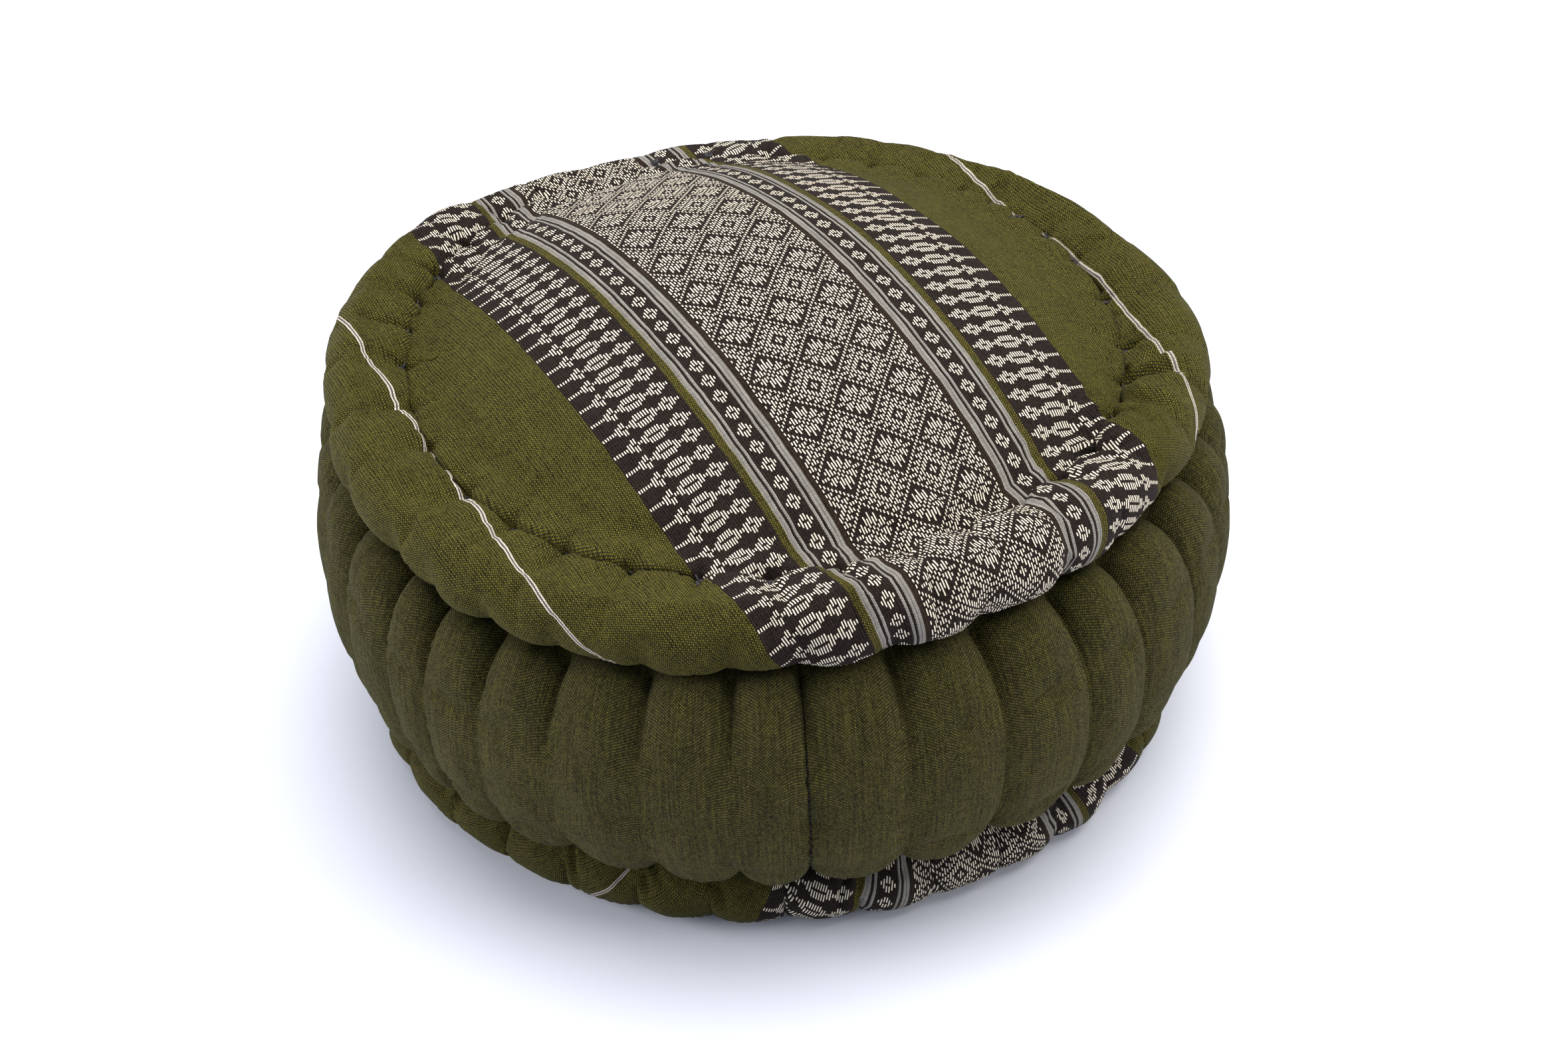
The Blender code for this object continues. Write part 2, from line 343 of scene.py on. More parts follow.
# A weaver's chart of a quarter of the field, read outwards from a small square's middle.
# Each line is one column of floats, from the square's own to the flower's, and each mark one pick.
FIELD_CHART = (
    "xxxx...xxxxx.xxxxx...xx",
    "xx...xxxxx.xxx.xxx.xxx.",
    "...xxxxx.xxxxx...xxx...",
    ".xxxxx.xxx.xxx.xxx...xx",
    "xxxx.xxxxx...xxx.....xx",
    "xx.xxx.xxx.xxx...xxx.xx",
    ".xxxxx...xxx...xxxxxxx.",
    "xx.xxx.xxx.......xxxxx.",
    "xx...xxx...xxxxxxx.xxx.",
    "xx.xxx.......xxxxxxx.xx",
    ".xxx.....xxxxxxxxx.xxx.",
)
FIELD_HALF_COLUMNS = 10
FIELD_HALF_PICKS = 22
FIELD_CODE_PICKS = 12
FIELD_HALF_WIDTH_COLUMNS = 29.5

# The shapes of one column of a spear or a ring, read outwards from its middle
SHORT, TALL, DOUBLE, EMPTY = "xx......", "xxxx....", ".xxxxx..", "........"
MOTIF_HALF_PICKS = 7
SPEAR_COLUMNS = (
    (6, SHORT), (2, TALL), (2, DOUBLE), (2, SHORT), (2, TALL), (6, DOUBLE), (2, TALL),
    (2, SHORT), (2, TALL), (2, DOUBLE), (2, TALL), (2, SHORT), (1, EMPTY),
)
RING_COLUMNS = ((1, DOUBLE), (1, TALL), (1, SHORT))
SPEAR_SHIFT_MM = 15.0

# Distances of the stripes from the band's middle, in millimetres
BAND_HALF_MM = 98.0
SPEARS_FROM_MM = 59.4
RING_MIDDLE_MM = 46.7
BROWN_STRIPE_MM = (34.5, 37.1)
GREEN_STRIPE_MM = (56.3, 59.4)
PALE_STRIPES_MM = (
    (37.1, 39.6), (40.7, 42.0), (51.4, 52.6), (53.8, 56.3), (152.3, 153.7),
)
STRIPE_LINES_MM = (38.32, 55.28, 153.0)

# Painted shade on the base's cloth: how much darker it is painted, for the shade that falls under
# the side's bulge
BASE_PAINTED_SHADE = 0.22


def chart_code(marks):
    """A column of the chart as a number from 0 to 1, one binary digit for each pick."""
    return sum(0.5 ** (place + 1) for place, mark in enumerate(marks) if mark == "x")


def whole(value):
    return value.sheet.math("FLOOR", value)


def digit(code, place):
    """The chart's mark at this pick, as 0 or 1."""
    return whole(code * 2 ** (place + 1) + 0.0001) % 2


def mirrored(value, half):
    """How far a value is from the nearest middle of a repeat twice as long as this half."""
    return abs((value + half) % (2 * half) - half)


def uneven(middle, *parts):
    """A value that soft noises, each with its own weight, move about its middle."""
    value = middle
    for weight, cloudy in parts:
        value = value + weight * (cloudy - 0.5)
    return value


# A float of the patterning yarn, in shares of a pick along it and of a column across it: where it
# rises out of the ground and is full, half its width at its ends and what it gains between them,
# how soft its edges are, and how full it has to be to hide the ground
FLOAT_RISES, FLOAT_FULL = 0.24, 0.52
FLOAT_END_WIDTH, FLOAT_GAIN = 0.145, 0.08
FLOAT_EDGE = 0.04
FLOAT_HIDES = 0.3


def float_cover(across, mark, mark_before, mark_after, part):
    """How much the patterning yarn covers: its floats narrow and dip where they end."""
    start = part.ramp_up(FLOAT_RISES, FLOAT_FULL).at_least(mark_before)
    end = (1 - part).ramp_up(FLOAT_RISES, FLOAT_FULL).at_least(mark_after)
    fullness = start.at_most(end)
    half_width = FLOAT_END_WIDTH + FLOAT_GAIN * fullness
    edge = (half_width - abs(across)).ramp_up(-FLOAT_EDGE, FLOAT_EDGE)
    return mark * edge * fullness.ramp_up(0.0, FLOAT_HIDES), fullness


def field_cover(sheet, across_mm, along_mm, weave):
    """The floats of the field of flowers and squares."""
    place = across_mm / weave.column_mm + 0.5
    column = whole(place)
    line = FIELD_HALF_COLUMNS - mirrored(column, FIELD_HALF_COLUMNS)
    stops = []
    for row, marks in enumerate(FIELD_CHART):
        near = chart_code(marks[:FIELD_CODE_PICKS])
        far = chart_code(marks[FIELD_CODE_PICKS:])
        stops.append((row / len(FIELD_CHART), (near, far, 0, 1)))
    codes = sheet.steps((line + 0.5) / len(FIELD_CHART), stops)
    near, far, _ = sheet.parts(codes)
    pick_place = along_mm * (2 * FIELD_HALF_PICKS / weave.flower_mm)
    folded = FIELD_HALF_PICKS - mirrored(pick_place, FIELD_HALF_PICKS)
    pick = whole(folded + 0.5)
    part = folded + 0.5 - pick

    def mark_at(where):
        is_far = where > FIELD_CODE_PICKS - 0.5
        code = near + is_far * (far - near)
        return digit(code, where - FIELD_CODE_PICKS * is_far)

    after = FIELD_HALF_PICKS - abs(FIELD_HALF_PICKS - 1 - pick)
    return float_cover(
        place - column - 0.5, mark_at(pick), mark_at(abs(pick - 1)), mark_at(after), part)


def motif_cover(sheet, from_middle_mm, along_mm, weave):
    """The floats of the spears at the band's edges and of the small rings between stripes."""
    spear_place = (BAND_HALF_MM - from_middle_mm) / weave.column_mm
    ring_place = abs(from_middle_mm - RING_MIDDLE_MM) / weave.column_mm
    columns = sum(count for count, _ in SPEAR_COLUMNS)
    spear_stops = []
    place = 0
    for count, marks in SPEAR_COLUMNS:
        spear_stops.append((place / columns, (chart_code(marks), 0, 0, 1)))
        place += count
    ring_stops = [
        (row / len(RING_COLUMNS), (chart_code(marks), 0, 0, 1))
        for row, (_, marks) in enumerate(RING_COLUMNS)
    ]
    in_spears = from_middle_mm.between(SPEARS_FROM_MM, BAND_HALF_MM)
    in_rings = ring_place < len(RING_COLUMNS)
    spear_codes = sheet.steps((whole(spear_place) + 0.5) / columns, spear_stops)
    spear_code = sheet.parts(spear_codes)[0]
    ring_codes = sheet.steps((whole(ring_place) + 0.5) / len(RING_COLUMNS), ring_stops)
    ring_code = sheet.parts(ring_codes)[0]
    code = spear_code * in_spears + ring_code * in_rings
    across = (spear_place % 1) * in_spears + (ring_place % 1) * (1 - in_spears) - 0.5
    pick_place = (along_mm + SPEAR_SHIFT_MM) * (2 * MOTIF_HALF_PICKS / weave.spear_mm)
    folded = mirrored(pick_place, MOTIF_HALF_PICKS)
    pick = whole(folded + 0.5)
    part = folded + 0.5 - pick
    return float_cover(
        across, digit(code, pick), digit(code, abs(pick - 1)), digit(code, pick + 1), part)


# How fast a thread falls away from the middle of a crossing, how far apart in the noise two
# neighbouring threads lie, and the least that any thread is darkened to
THREAD_ROUNDING = 2.2
THREAD_STEP = 0.83
DARKEST = 0.2


def plain_weave(across_mm, along_mm, thread_mm):
    """Where the warp is up in the plain weave, how it rounds, and which warp and pick it is."""
    across = across_mm / thread_mm
    along = along_mm / thread_mm
    warp = whole(across)
    pick = whole(along)
    warp_up = (warp + pick) % 2
    x = abs(across - warp - 0.5)
    y = abs(along - pick - 0.5)
    hill = 1 - THREAD_ROUNDING * (x * x + y * y)
    return warp_up, hill, warp, pick


def warp_streaks(sheet, warp, along_mm, scale):
    """Noise of its own for each warp thread, which changes slowly along it."""
    return sheet.noise(sheet.vector(warp * THREAD_STEP, along_mm * scale), 1.0, detail=3.0)


def weft_streaks(sheet, across_mm, pick, scale):
    """The same for each pick of the weft."""
    return sheet.noise(sheet.vector(across_mm * scale, pick * THREAD_STEP), 1.0, detail=3.0)


# How far the threads wander off their straight lines, in millimetres
BAND_DRIFT_MM = 1.1
BAND_DRIFT_ALONG_MM = 1.4
SIDE_DRIFT_MM = 1.3
# How much of a pale stripe's weft its warp hides, how much less its grain shows, and how much
# fainter the darker line is inside the band
STRIPE_WARP = 0.7
STRIPE_CALM = 0.8
BAND_LINE_FAINTER = 0.45


def banded_cloth(name, weave, colours):
    """The panels' cloth: green plain weave with the patterned band and fine pale stripes."""
    sheet = Sheet(name)
    green, dark, brown = tuple(colours.green), tuple(colours.dark), tuple(colours.brown)
    place = sheet.attribute("cloth_mm")
    across_mm, along_mm, on_base = sheet.parts(place)
    drift = sheet.noise(place, 0.09)
    drift_along = sheet.noise(sheet.vector(along_mm, across_mm), 0.07)
    across_mm = uneven(across_mm, (BAND_DRIFT_MM, drift))
    along_mm = uneven(along_mm, (BAND_DRIFT_ALONG_MM, drift_along))
    from_middle_mm = abs(across_mm)
    field, field_full = field_cover(sheet, across_mm, along_mm, weave)
    motif, motif_full = motif_cover(sheet, from_middle_mm, along_mm, weave)
    in_field = from_middle_mm < FIELD_HALF_WIDTH_COLUMNS * weave.column_mm
    cover = field * in_field + motif * (1 - in_field)
    fullness = field_full * in_field + motif_full * (1 - in_field)

    warp_up, hill, warp, pick = plain_weave(across_mm, along_mm, weave.thread_mm)
    warp_middle_mm = abs((warp + 0.5) * weave.thread_mm)
    in_band = warp_middle_mm < BAND_HALF_MM
    warp_colour = sheet.mix(in_band, green, dark)
    for stripe, yarn in ((GREEN_STRIPE_MM, green), (BROWN_STRIPE_MM, brown)):
        warp_colour = sheet.mix(warp_middle_mm.between(*stripe), warp_colour, yarn)
    pale = sum(warp_middle_mm.between(*stripe) for stripe in PALE_STRIPES_MM)
    line = sum(
        abs(warp_middle_mm - middle_mm) < 0.5 * weave.thread_mm for middle_mm in STRIPE_LINES_MM)
    pale_colour = sheet.mix(
        line * (1 - BAND_LINE_FAINTER * in_band),
        sheet.mix(in_band, tuple(colours.fine_stripe), tuple(colours.stripe)),
        tuple(colours.stripe_middle))
    warp_colour = sheet.mix(pale, warp_colour, pale_colour)
    weft_colour = sheet.mix(in_band, tuple(colours.green_weft), brown)
    ground = sheet.mix(warp_up.at_least(STRIPE_WARP * pale), weft_colour, warp_colour)

    streaks = warp_streaks(sheet, warp, along_mm, 0.045)
    cross_streaks = weft_streaks(sheet, across_mm, pick, 0.045)
    blotches = sheet.noise(place, 0.05, detail=3.0)
    grain = sheet.speckle(warp, pick)
    rib = warp % 2 - 0.5
    shade = uneven(0.95, (1.0, streaks), (0.7, cross_streaks), (0.4, blotches))
    shade = shade + (1 - STRIPE_CALM * pale) * uneven(0.6 * rib, (0.65, grain))
    # Painted shade: each thread is painted darker where it rounds down between crossings
    shade = shade.at_least(DARKEST) * (0.72 + 0.4 * hill)
    ground = sheet.scaled(ground, shade)
    fibres = sheet.noise(sheet.vector(across_mm * 5.0, along_mm * 0.7), 1.0)
    # The yarn's tone varies with its fibres, and it is painted darker at each float's ends as
    # painted shade where the float dips into the ground
    yarn_shade = (0.88 + 0.26 * fibres) * (0.66 + 0.34 * fullness)
    yarn = sheet.scaled(tuple(colours.cream)[:3], yarn_shade)
    # The base's cloth is painted darker here, as painted shade
    colour = sheet.scaled(sheet.mix(cover, ground, yarn), 1 - BASE_PAINTED_SHADE * on_base)
    height = hill * 0.45 + cover * (0.5 + 0.5 * fullness) + 0.15 * fibres * cover
    roughness = 0.86 - 0.18 * cover
    return sheet.finish(colour, roughness, height, bump_distance=0.00026, sheen=0.02)


def plain_cloth(name, weave, colours):
    """The side's cloth: dark olive plain weave with slubs that run up and down."""
    sheet = Sheet(name)
    place = sheet.attribute("cloth_mm")
    across_mm, along_mm, from_closing_mm = sheet.parts(place)
    place = sheet.vector(across_mm, along_mm)
    across_mm = uneven(across_mm, (SIDE_DRIFT_MM, sheet.noise(place, 0.07)))
    warp_up, hill, warp, pick = plain_weave(across_mm, along_mm, weave.thread_mm)
    slubs = warp_streaks(sheet, warp, along_mm, 0.035)
    wide_slubs = sheet.noise(sheet.vector(across_mm * 0.30, along_mm * 0.012), 1.0)
    cross_streaks = weft_streaks(sheet, across_mm, pick, 0.05)
    blotches = sheet.noise(place, 0.12)
    brownness = uneven(0.4, (2.4, wide_slubs), (1.8, blotches)).as_share()
    warp_colour = sheet.mix(brownness, tuple(colours.side_warp), tuple(colours.side_slub))
    warp_shows = uneven(warp_up * 0.75, (0.6, slubs)).as_share()
    ground = sheet.mix(warp_shows, tuple(colours.side_weft), warp_colour)
    grain = sheet.speckle(warp, pick)
    shade = uneven(1.0, (1.1, slubs), (0.3, wide_slubs), (0.7, cross_streaks), (0.85, grain))
    # Painted shade: each thread is painted darker where it rounds down between crossings
    shade = shade.at_least(DARKEST) * (0.70 + 0.42 * hill)
    # Painted shade: a dark line painted down the closing seam's gap, where shade falls
    shade = shade * (1 - CLOSING_PAINTED_SHADE * (abs(from_closing_mm) < CLOSING_GAP_MM))
    ground = sheet.scaled(ground, shade)
    height = hill + 0.5 * slubs
    return sheet.finish(ground, 0.94 - 0.05 * slubs, height, bump_distance=0.00022, sheen=0.02)


# Twist of a sewing thread, in radians for each metre, and scale of its fuzz
THREAD_TWIST = 9000
THREAD_FUZZ = 1500.0


def thread_cloth(name, colour):
    """Twisted sewing thread."""
    sheet = Sheet(name)
    place = sheet.node("ShaderNodeTexCoord", output=3)
    x, y, z = sheet.parts(place)
    twist = sheet.math("SINE", (x + y + z) * THREAD_TWIST)
    fuzz = sheet.noise(place, THREAD_FUZZ)
    # Painted shade: the grooves of the twist are painted darker; the fuzz varies the thread's own
    # tone
    shade = 0.75 + 0.15 * twist + 0.35 * fuzz
    colour = sheet.scaled(tuple(colour)[:3], shade)
    return sheet.finish(colour, 0.7 + 0.1 * fuzz, twist, bump_distance=0.00008, sheen=0.1)


def between_sections(column, azimuth):
    """A column of SECTIONS at any azimuth, on a smooth closed curve through its rows."""
    count = len(SECTIONS)
    place = (azimuth % 360) * count / 360
    row = int(place)
    part = place - row
    before, start, end, after = (
        SECTIONS[(row + step) % count][column] for step in (-1, 0, 1, 2)
    )
    slope_start = (end - before) / 2
    slope_end = (after - start) / 2
    rise = end - start
    curve = (slope_start + slope_end - 2 * rise) * part + 3 * rise - 2 * slope_start - slope_end
    return start + part * (slope_start + part * curve)


def all_round(seen, pitch):
    """The azimuths in view, with even ones added in each wide gap between them."""
    azimuths = []
    for start, end in zip(seen, seen[1:] + (seen[0] + 360,)):
        steps = max(1, round((end - start) / pitch))
        azimuths += [start + (end - start) * step / steps for step in range(steps)]
    return azimuths


def columns_between(azimuths, count):
    """Columns of points, close together at each fold: azimuth, part of the way, and fold."""
    columns = []
    following = azimuths[1:] + [azimuths[0] + 360]
    for fold, (start, end) in enumerate(zip(azimuths, following)):
        for step in range(count):
            even = step / count
            bunched = (1 - math.cos(math.pi * even)) / 2
            part = 0.45 * even + 0.55 * bunched
            columns.append((start + (end - start) * part, part, fold))
    return columns


def top_height(radius, azimuth):
    east, north = directions(azimuth)
    return TUFT_RING_HEIGHT + radius * (LEAN_TOWARDS_X * east + LEAN_TOWARDS_Y * north)


def crown_point(shape, share, azimuth, below=0.0):
    radius = share * TUFT_RING_RADIUS
    return radius, top_height(radius, azimuth) + shape.crown_rise * (1 - share**2) - below


def rim_centre(azimuth):
    radius = between_sections(RIM_RADIUS, azimuth)
    rise = between_sections(RIM_RISE, azimuth)
    return radius, top_height(TUFT_RING_RADIUS, azimuth) - RIM_DROP_FROM_TUFTS + rise


def ring_height(azimuth):
    rise = TUFTS_FOLLOW_RIM * between_sections(RIM_RISE, azimuth)
    return top_height(TUFT_RING_RADIUS, azimuth) + rise


def channel_depth(azimuth):
    """Depth of the channels near this azimuth: as seen, and even where they are out of sight."""
    for (start, depth), (end, next_depth) in zip(CHANNELS, CHANNELS[1:]):
        if start <= azimuth % 360 <= end:
            return depth + (azimuth % 360 - start) / (end - start) * (next_depth - depth)
    return CHANNEL_DEPTH_UNSEEN


def turn_from(azimuth, other):
    """Degrees from the other azimuth to this one, from -180 to 180."""
    return (azimuth - other + 180) % 360 - 180


def away_from(azimuth, azimuths):
    """Degrees from the nearest of these azimuths."""
    return min(abs(turn_from(azimuth, other)) for other in azimuths)


def directions(azimuth):
    """How far a step outwards at this azimuth goes along X and along Y."""
    turn = math.radians(azimuth)
    return math.cos(turn), math.sin(turn)


def fade(distance, reach):
    """1 at a distance of 0, falling smoothly to 0 at its reach."""
    share = min(1.0, abs(distance) / reach)
    return (1 - share * share) ** 2


# A crease's ridges, on both sides of its groove: their height as a share of its depth, and their
# distance and width as shares of its own, which grows by so much along it
CREASE_RIDGE = 0.45
FOLD_RIDGE = 0.5
RIDGE_AWAY = 2.0
RIDGE_WIDTH = 1.1
CREASE_WIDENS = 0.9
# How far a crease may turn, in degrees, and how its length, depth and width may vary
CREASE_TURN = 14
CREASE_LENGTHS = (0.55, 1.35)
CREASE_DEPTHS = (0.4, 1.5)
CREASE_WIDTHS_MM = (0.9, 1.7)


def crease(across, along, depth, width, length):
    """Height of a groove with a soft ridge on both sides, running out from along = 0."""
    if not -width < along < length:
        return 0.0
    width *= 1 + CREASE_WIDENS * max(0.0, along) / length
    groove = math.exp(-(across / width) ** 2)
    from_ridge = (abs(across) - RIDGE_AWAY * width) / (RIDGE_WIDTH * width)
    ridge = CREASE_RIDGE * math.exp(-from_ridge**2)
    ends = fade(max(0.0, along), length) * min(1.0, (along + width) / width)
    return depth * ends * (ridge - groove)


def creases_of(tufts, seed, depth, creases):
    """For each tuft, the creases that run out of it: angle, length, depth and width."""
    chance = random.Random(seed)
    rows = []
    for _ in tufts:
        row = []
        for angle, length in creases:
            row.append((
                math.radians(angle + chance.uniform(-CREASE_TURN, CREASE_TURN)),
                length * chance.uniform(*CREASE_LENGTHS),
                depth * chance.uniform(*CREASE_DEPTHS),
                chance.uniform(*CREASE_WIDTHS_MM) * MM,
            ))
        rows.append(row)
    return rows


# How far to each side of its middle a crease or a large fold is felt
CREASE_SIDE_REACH = 0.03
FOLD_REACH = 0.04


def crease_height(rows, tufts, nearest, azimuth, radius, along):
    """All the creases' height at a point, from its azimuth and its way out past the tufts."""
    height = 0.0
    count = len(tufts)
    for step in (-1, 0, 1, 2):
        fold = (nearest + step) % count
        across = math.radians(turn_from(azimuth, tufts[fold])) * radius
        if abs(across) > CREASE_SIDE_REACH:
            continue
        for angle, length, depth, width in rows[fold]:
            sine, cosine = math.sin(angle), math.cos(angle)
            height += crease(
                across * cosine - along * sine, across * sine + along * cosine,
                depth, width, length)
    return height


def lumps(x, y, z, size, seed):
    """Soft unevenness from -1 to 1, about this size across."""
    return noise.noise(Vector((x / size + seed, y / size, z / size - seed)))


def arc_lengths(points):
    """Distance along a section from its first point to each of its points."""
    lengths = [0.0]
    for (r0, z0), (r1, z1) in zip(points, points[1:]):
        lengths.append(lengths[-1] + math.hypot(r1 - r0, z1 - z0))
    return lengths


def points_between(start, end, shares):
    """Points on the straight line from one point to another, at these shares of the way."""
    return [
        (start[0] + (end[0] - start[0]) * share, start[1] + (end[1] - start[1]) * share)
        for share in shares
    ]


def flat_points(height):
    """Points over the flat of the base, from its edge in to its middle."""
    return [(share * FLAT_RADIUS, height) for share in FLAT_SHARES]


def moved_out(points, heights):
    """A section's points moved along its outward normal by these heights."""
    moved = []
    last = len(points) - 1
    for index, (radius, height) in enumerate(points):
        r0, z0 = points[max(0, index - 1)]
        r1, z1 = points[min(last, index + 1)]
        length = math.hypot(r1 - r0, z1 - z0) or 1.0
        push = heights[index]
        moved.append((
            max(0.0, radius - push * (z1 - z0) / length),
            height + push * (r1 - r0) / length,
        ))
    return moved


# Places of the top's points: shares of the way from the middle out to the tufts, degrees
# between two points of the rim, and shares of the way back under it
CROWN_SHARES = (
    0.0, 0.08, 0.16, 0.24, 0.32, 0.40, 0.48, 0.55, 0.62, 0.68, 0.735, 0.78, 0.82, 0.855,
    0.885, 0.91, 0.93, 0.948, 0.964, 0.978, 0.99,
)
RIM_STEP = 7
BED_PARTS = (0.15, 0.4, 0.7, 1.0)
LINING_SHARES = (0.93, 0.7, 0.36, 0.0)
TUFT_COLUMNS = 16
CHANNEL_COLUMNS = 18


def rim_angles():
    count = round((RIM_FIRST_ANGLE - RIM_LAST_ANGLE) / RIM_STEP)
    return [
        RIM_FIRST_ANGLE + (RIM_LAST_ANGLE - RIM_FIRST_ANGLE) * index / count
        for index in range(count + 1)
    ]


def rolled(radius, height, out, up, angles):
    """The points of a rolled rim about its centre, this far out and up at each angle."""
    return [
        (radius + out * math.cos(math.radians(angle)), height + up * math.sin(math.radians(angle)))
        for angle in angles
    ]


def large_folds(azimuth, radius, along):
    """Height that the large folds add at a point of the top."""
    height = 0.0
    for middle, way, angle, half_length, depth, width in LARGE_FOLDS:
        across = math.radians(turn_from(azimuth, middle)) * radius
        out = along - way
        if max(abs(across), abs(out)) > FOLD_REACH:
            continue
        sine, cosine = math.sin(math.radians(angle)), math.cos(math.radians(angle))
        lengthwise = across * sine + out * cosine
        sideways = (across * cosine - out * sine) / width
        ridge = FOLD_RIDGE * math.exp(-((abs(sideways) - RIDGE_AWAY) / RIDGE_WIDTH) ** 2)
        height += depth * fade(lengthwise, half_length) * (ridge - math.exp(-sideways**2))
    return height


CREST_ANGLE = 72
SLOPE_ROUNDING = 1.05


def sloped(rim, tuft, angles, share):
    """The rim with its inner side drawn towards an even slope from the tufts up to its crest."""
    crest = next(point for point, angle in zip(rim, angles) if angle < CREST_ANGLE)
    points = []
    for (r, z), angle in zip(rim, angles):
        if angle > CREST_ANGLE:
            place = (r - tuft[0]) / (crest[0] - tuft[0])
            even = tuft[1] + (crest[1] - tuft[1]) * (1 - (1 - place) ** SLOPE_ROUNDING)
            z += share * (even - z)
        points.append((r, z))
    return points


# How fully the cloth stands out between two folds: the lower the power, the fuller
BRIDGE_POWER = 0.6
LOBE_POWER = 0.8
CHANNEL_POWER = 0.55
PUFF_POWER = 0.7
BASE_LOBE_POWER = 0.5

# How the top is stuffed and drawn in, as lengths along the cloth in metres
BRIDGE_REACH = 0.018
PIT_REACH = 0.0070
PIT_SHARE = 0.30
LOBE_REACH = 0.030
PLEAT_LENGTH = 0.035
LOBE_START = 0.006
LOBE_REST = 0.56
NOTCH_WIDTH = 0.006
BED_LIFT = 0.0004
CREASE_REACH = 0.06
FOLDS_RADIUS = 0.13
# The angles of the rim over which its edge begins to be drawn in at the channels
EDGE_FROM_ANGLE = 40
EDGE_ANGLES = 50
EDGE_POINTS = 4
NOTCH_REST = 0.35
# How strong the lobes and creases are without pleats across the rim, and how much pleats add
LOBES_LEAST, LOBES_MORE = 0.2, 1.1
CREASED_LEAST, CREASED_MORE = 0.35, 0.8
# Unevenness of the filling: size of the lumps in metres, and seed
RIM_LUMPS = (0.030, 3.1)
EDGE_LUMPS = (0.038, 9.4)
CROWN_LUMPS = (0.045, 7.7)
SIDE_LUMPS = (0.06, 1.3)
BASE_LUMPS = (0.02, 5.5)
# How much lumpier the rims and the side are than the crown, and where the crown stays smooth
RIM_LUMPIER = 1.6
SIDE_LUMPIER = 1.5
SIDE_LUMPS_START = 0.02
SMOOTH_POINTS = 3
SMOOTH_RADIUS = 0.05


def top_section(shape, azimuth, part, fold, tufts, channels, rows):
    """One section of the top cloth, with its way along the cloth in metres at each point."""
    bridge = math.sin(math.pi * part)
    crown = [crown_point(shape, share, azimuth) for share in CROWN_SHARES]
    tuft = (TUFT_RING_RADIUS, ring_height(azimuth))
    radius, height = rim_centre(azimuth)
    angles = rim_angles()
    east, north = directions(azimuth)
    bridging = between_sections(BRIDGING, azimuth)
    pleats = between_sections(PLEAT_REACH, azimuth)
    sloping = between_sections(SLOPING, azimuth)
    raised = max(0.0, min(0.5, 0.5 * (bridging - 0.5)))
    from_channel = math.radians(away_from(azimuth, channels)) * (radius + shape.rim_thickness)
    rim = rolled(radius, height, shape.rim_thickness, shape.rim_thickness, angles)
    rim = sloped(rim, tuft, angles, sloping)
    outside = crown + [tuft] + rim
    lengths = arc_lengths(outside)
    ring = len(crown)
    heights = []
    for index, (r, z) in enumerate(outside):
        along = lengths[index] - lengths[ring]
        to_tuft = math.hypot(along, r * math.radians(TUFT_PITCH) * min(part, 1 - part))
        filled = raised + (1 - raised) * bridge**BRIDGE_POWER
        push = shape.bridge_height * bridging * filled * fade(along, BRIDGE_REACH)
        push -= PIT_SHARE * shape.pit_depth * fade(to_tuft, PIT_REACH)
        if index > ring:
            swell = bridge**LOBE_POWER - LOBE_REST
            near = fade(along, LOBE_REACH + PLEAT_LENGTH * pleats)
            lobe = shape.lobe_relief * swell * (LOBES_LEAST + LOBES_MORE * pleats) * near
            push += lobe * min(1.0, along / LOBE_START)
            lump = lumps(r * east, r * north, z, *RIM_LUMPS)
            push += RIM_LUMPIER * shape.lump_height * lump
            outer = eased((EDGE_FROM_ANGLE - angles[index - ring - 1]) / EDGE_ANGLES)
            outer *= min(1.0, (len(outside) - 1 - index) / EDGE_POINTS)
            notch = math.exp(-(from_channel / NOTCH_WIDTH) ** 2)
            push += outer * shape.edge_wave * (NOTCH_REST - notch)
            lump = lumps(r * east, r * north, 0, *EDGE_LUMPS)
            push += outer * RIM_LUMPIER * shape.edge_wave * lump
        if abs(along) < CREASE_REACH:
            creased = CREASED_LEAST + CREASED_MORE * pleats
            out = max(r, FOLDS_RADIUS)
            push += creased * crease_height(rows, tufts, fold, azimuth, out, along)
            push += large_folds(azimuth, out, along)
        if index > SMOOTH_POINTS:
            lump = lumps(r * east, r * north, 0, *CROWN_LUMPS)
            push += shape.lump_height * lump * min(1, r / SMOOTH_RADIUS)
        heights.append(push)
    outside = moved_out(outside, heights)
    seam = rim[-1]
    inner = (TUFT_RING_RADIUS, ring_height(azimuth) - CLOTH_THICKNESS - shape.pit_depth)
    bed = points_between(seam, inner, BED_PARTS)
    bed[0] = (bed[0][0], bed[0][1] + BED_LIFT)
    lining = [crown_point(shape, share, azimuth, CLOTH_THICKNESS) for share in LINING_SHARES]
    inside = bed + lining
    to_inside = arc_lengths([seam] + inside)
    ways = lengths + [lengths[-1] + length for length in to_inside[1:]]
    return outside + inside, ways


# How the side is gathered, as lengths along the cloth in metres
SIDE_STEPS = 46
BODY_CROWN_SHARES = (0.0, 0.3, 0.58, 0.8)
BODY_PIT = 0.0012
BODY_PIT_INSET = 0.002
SWELL_ROOM = 0.001
SEWN_EDGE = 0.010
CHANNEL_START = 0.006
PINCH_WIDTH = 0.0042
PINCH_REACH = 0.056
BASE_PINCH = 1.25
PUFF_REACH = 0.045
TOP_PUFF = 1.4
BASE_PUFF = 1.25
BASE_PUFF_START = 0.016
CLOSING_DEPTH = 0.0011
CLOSING_WIDTH = 0.0009


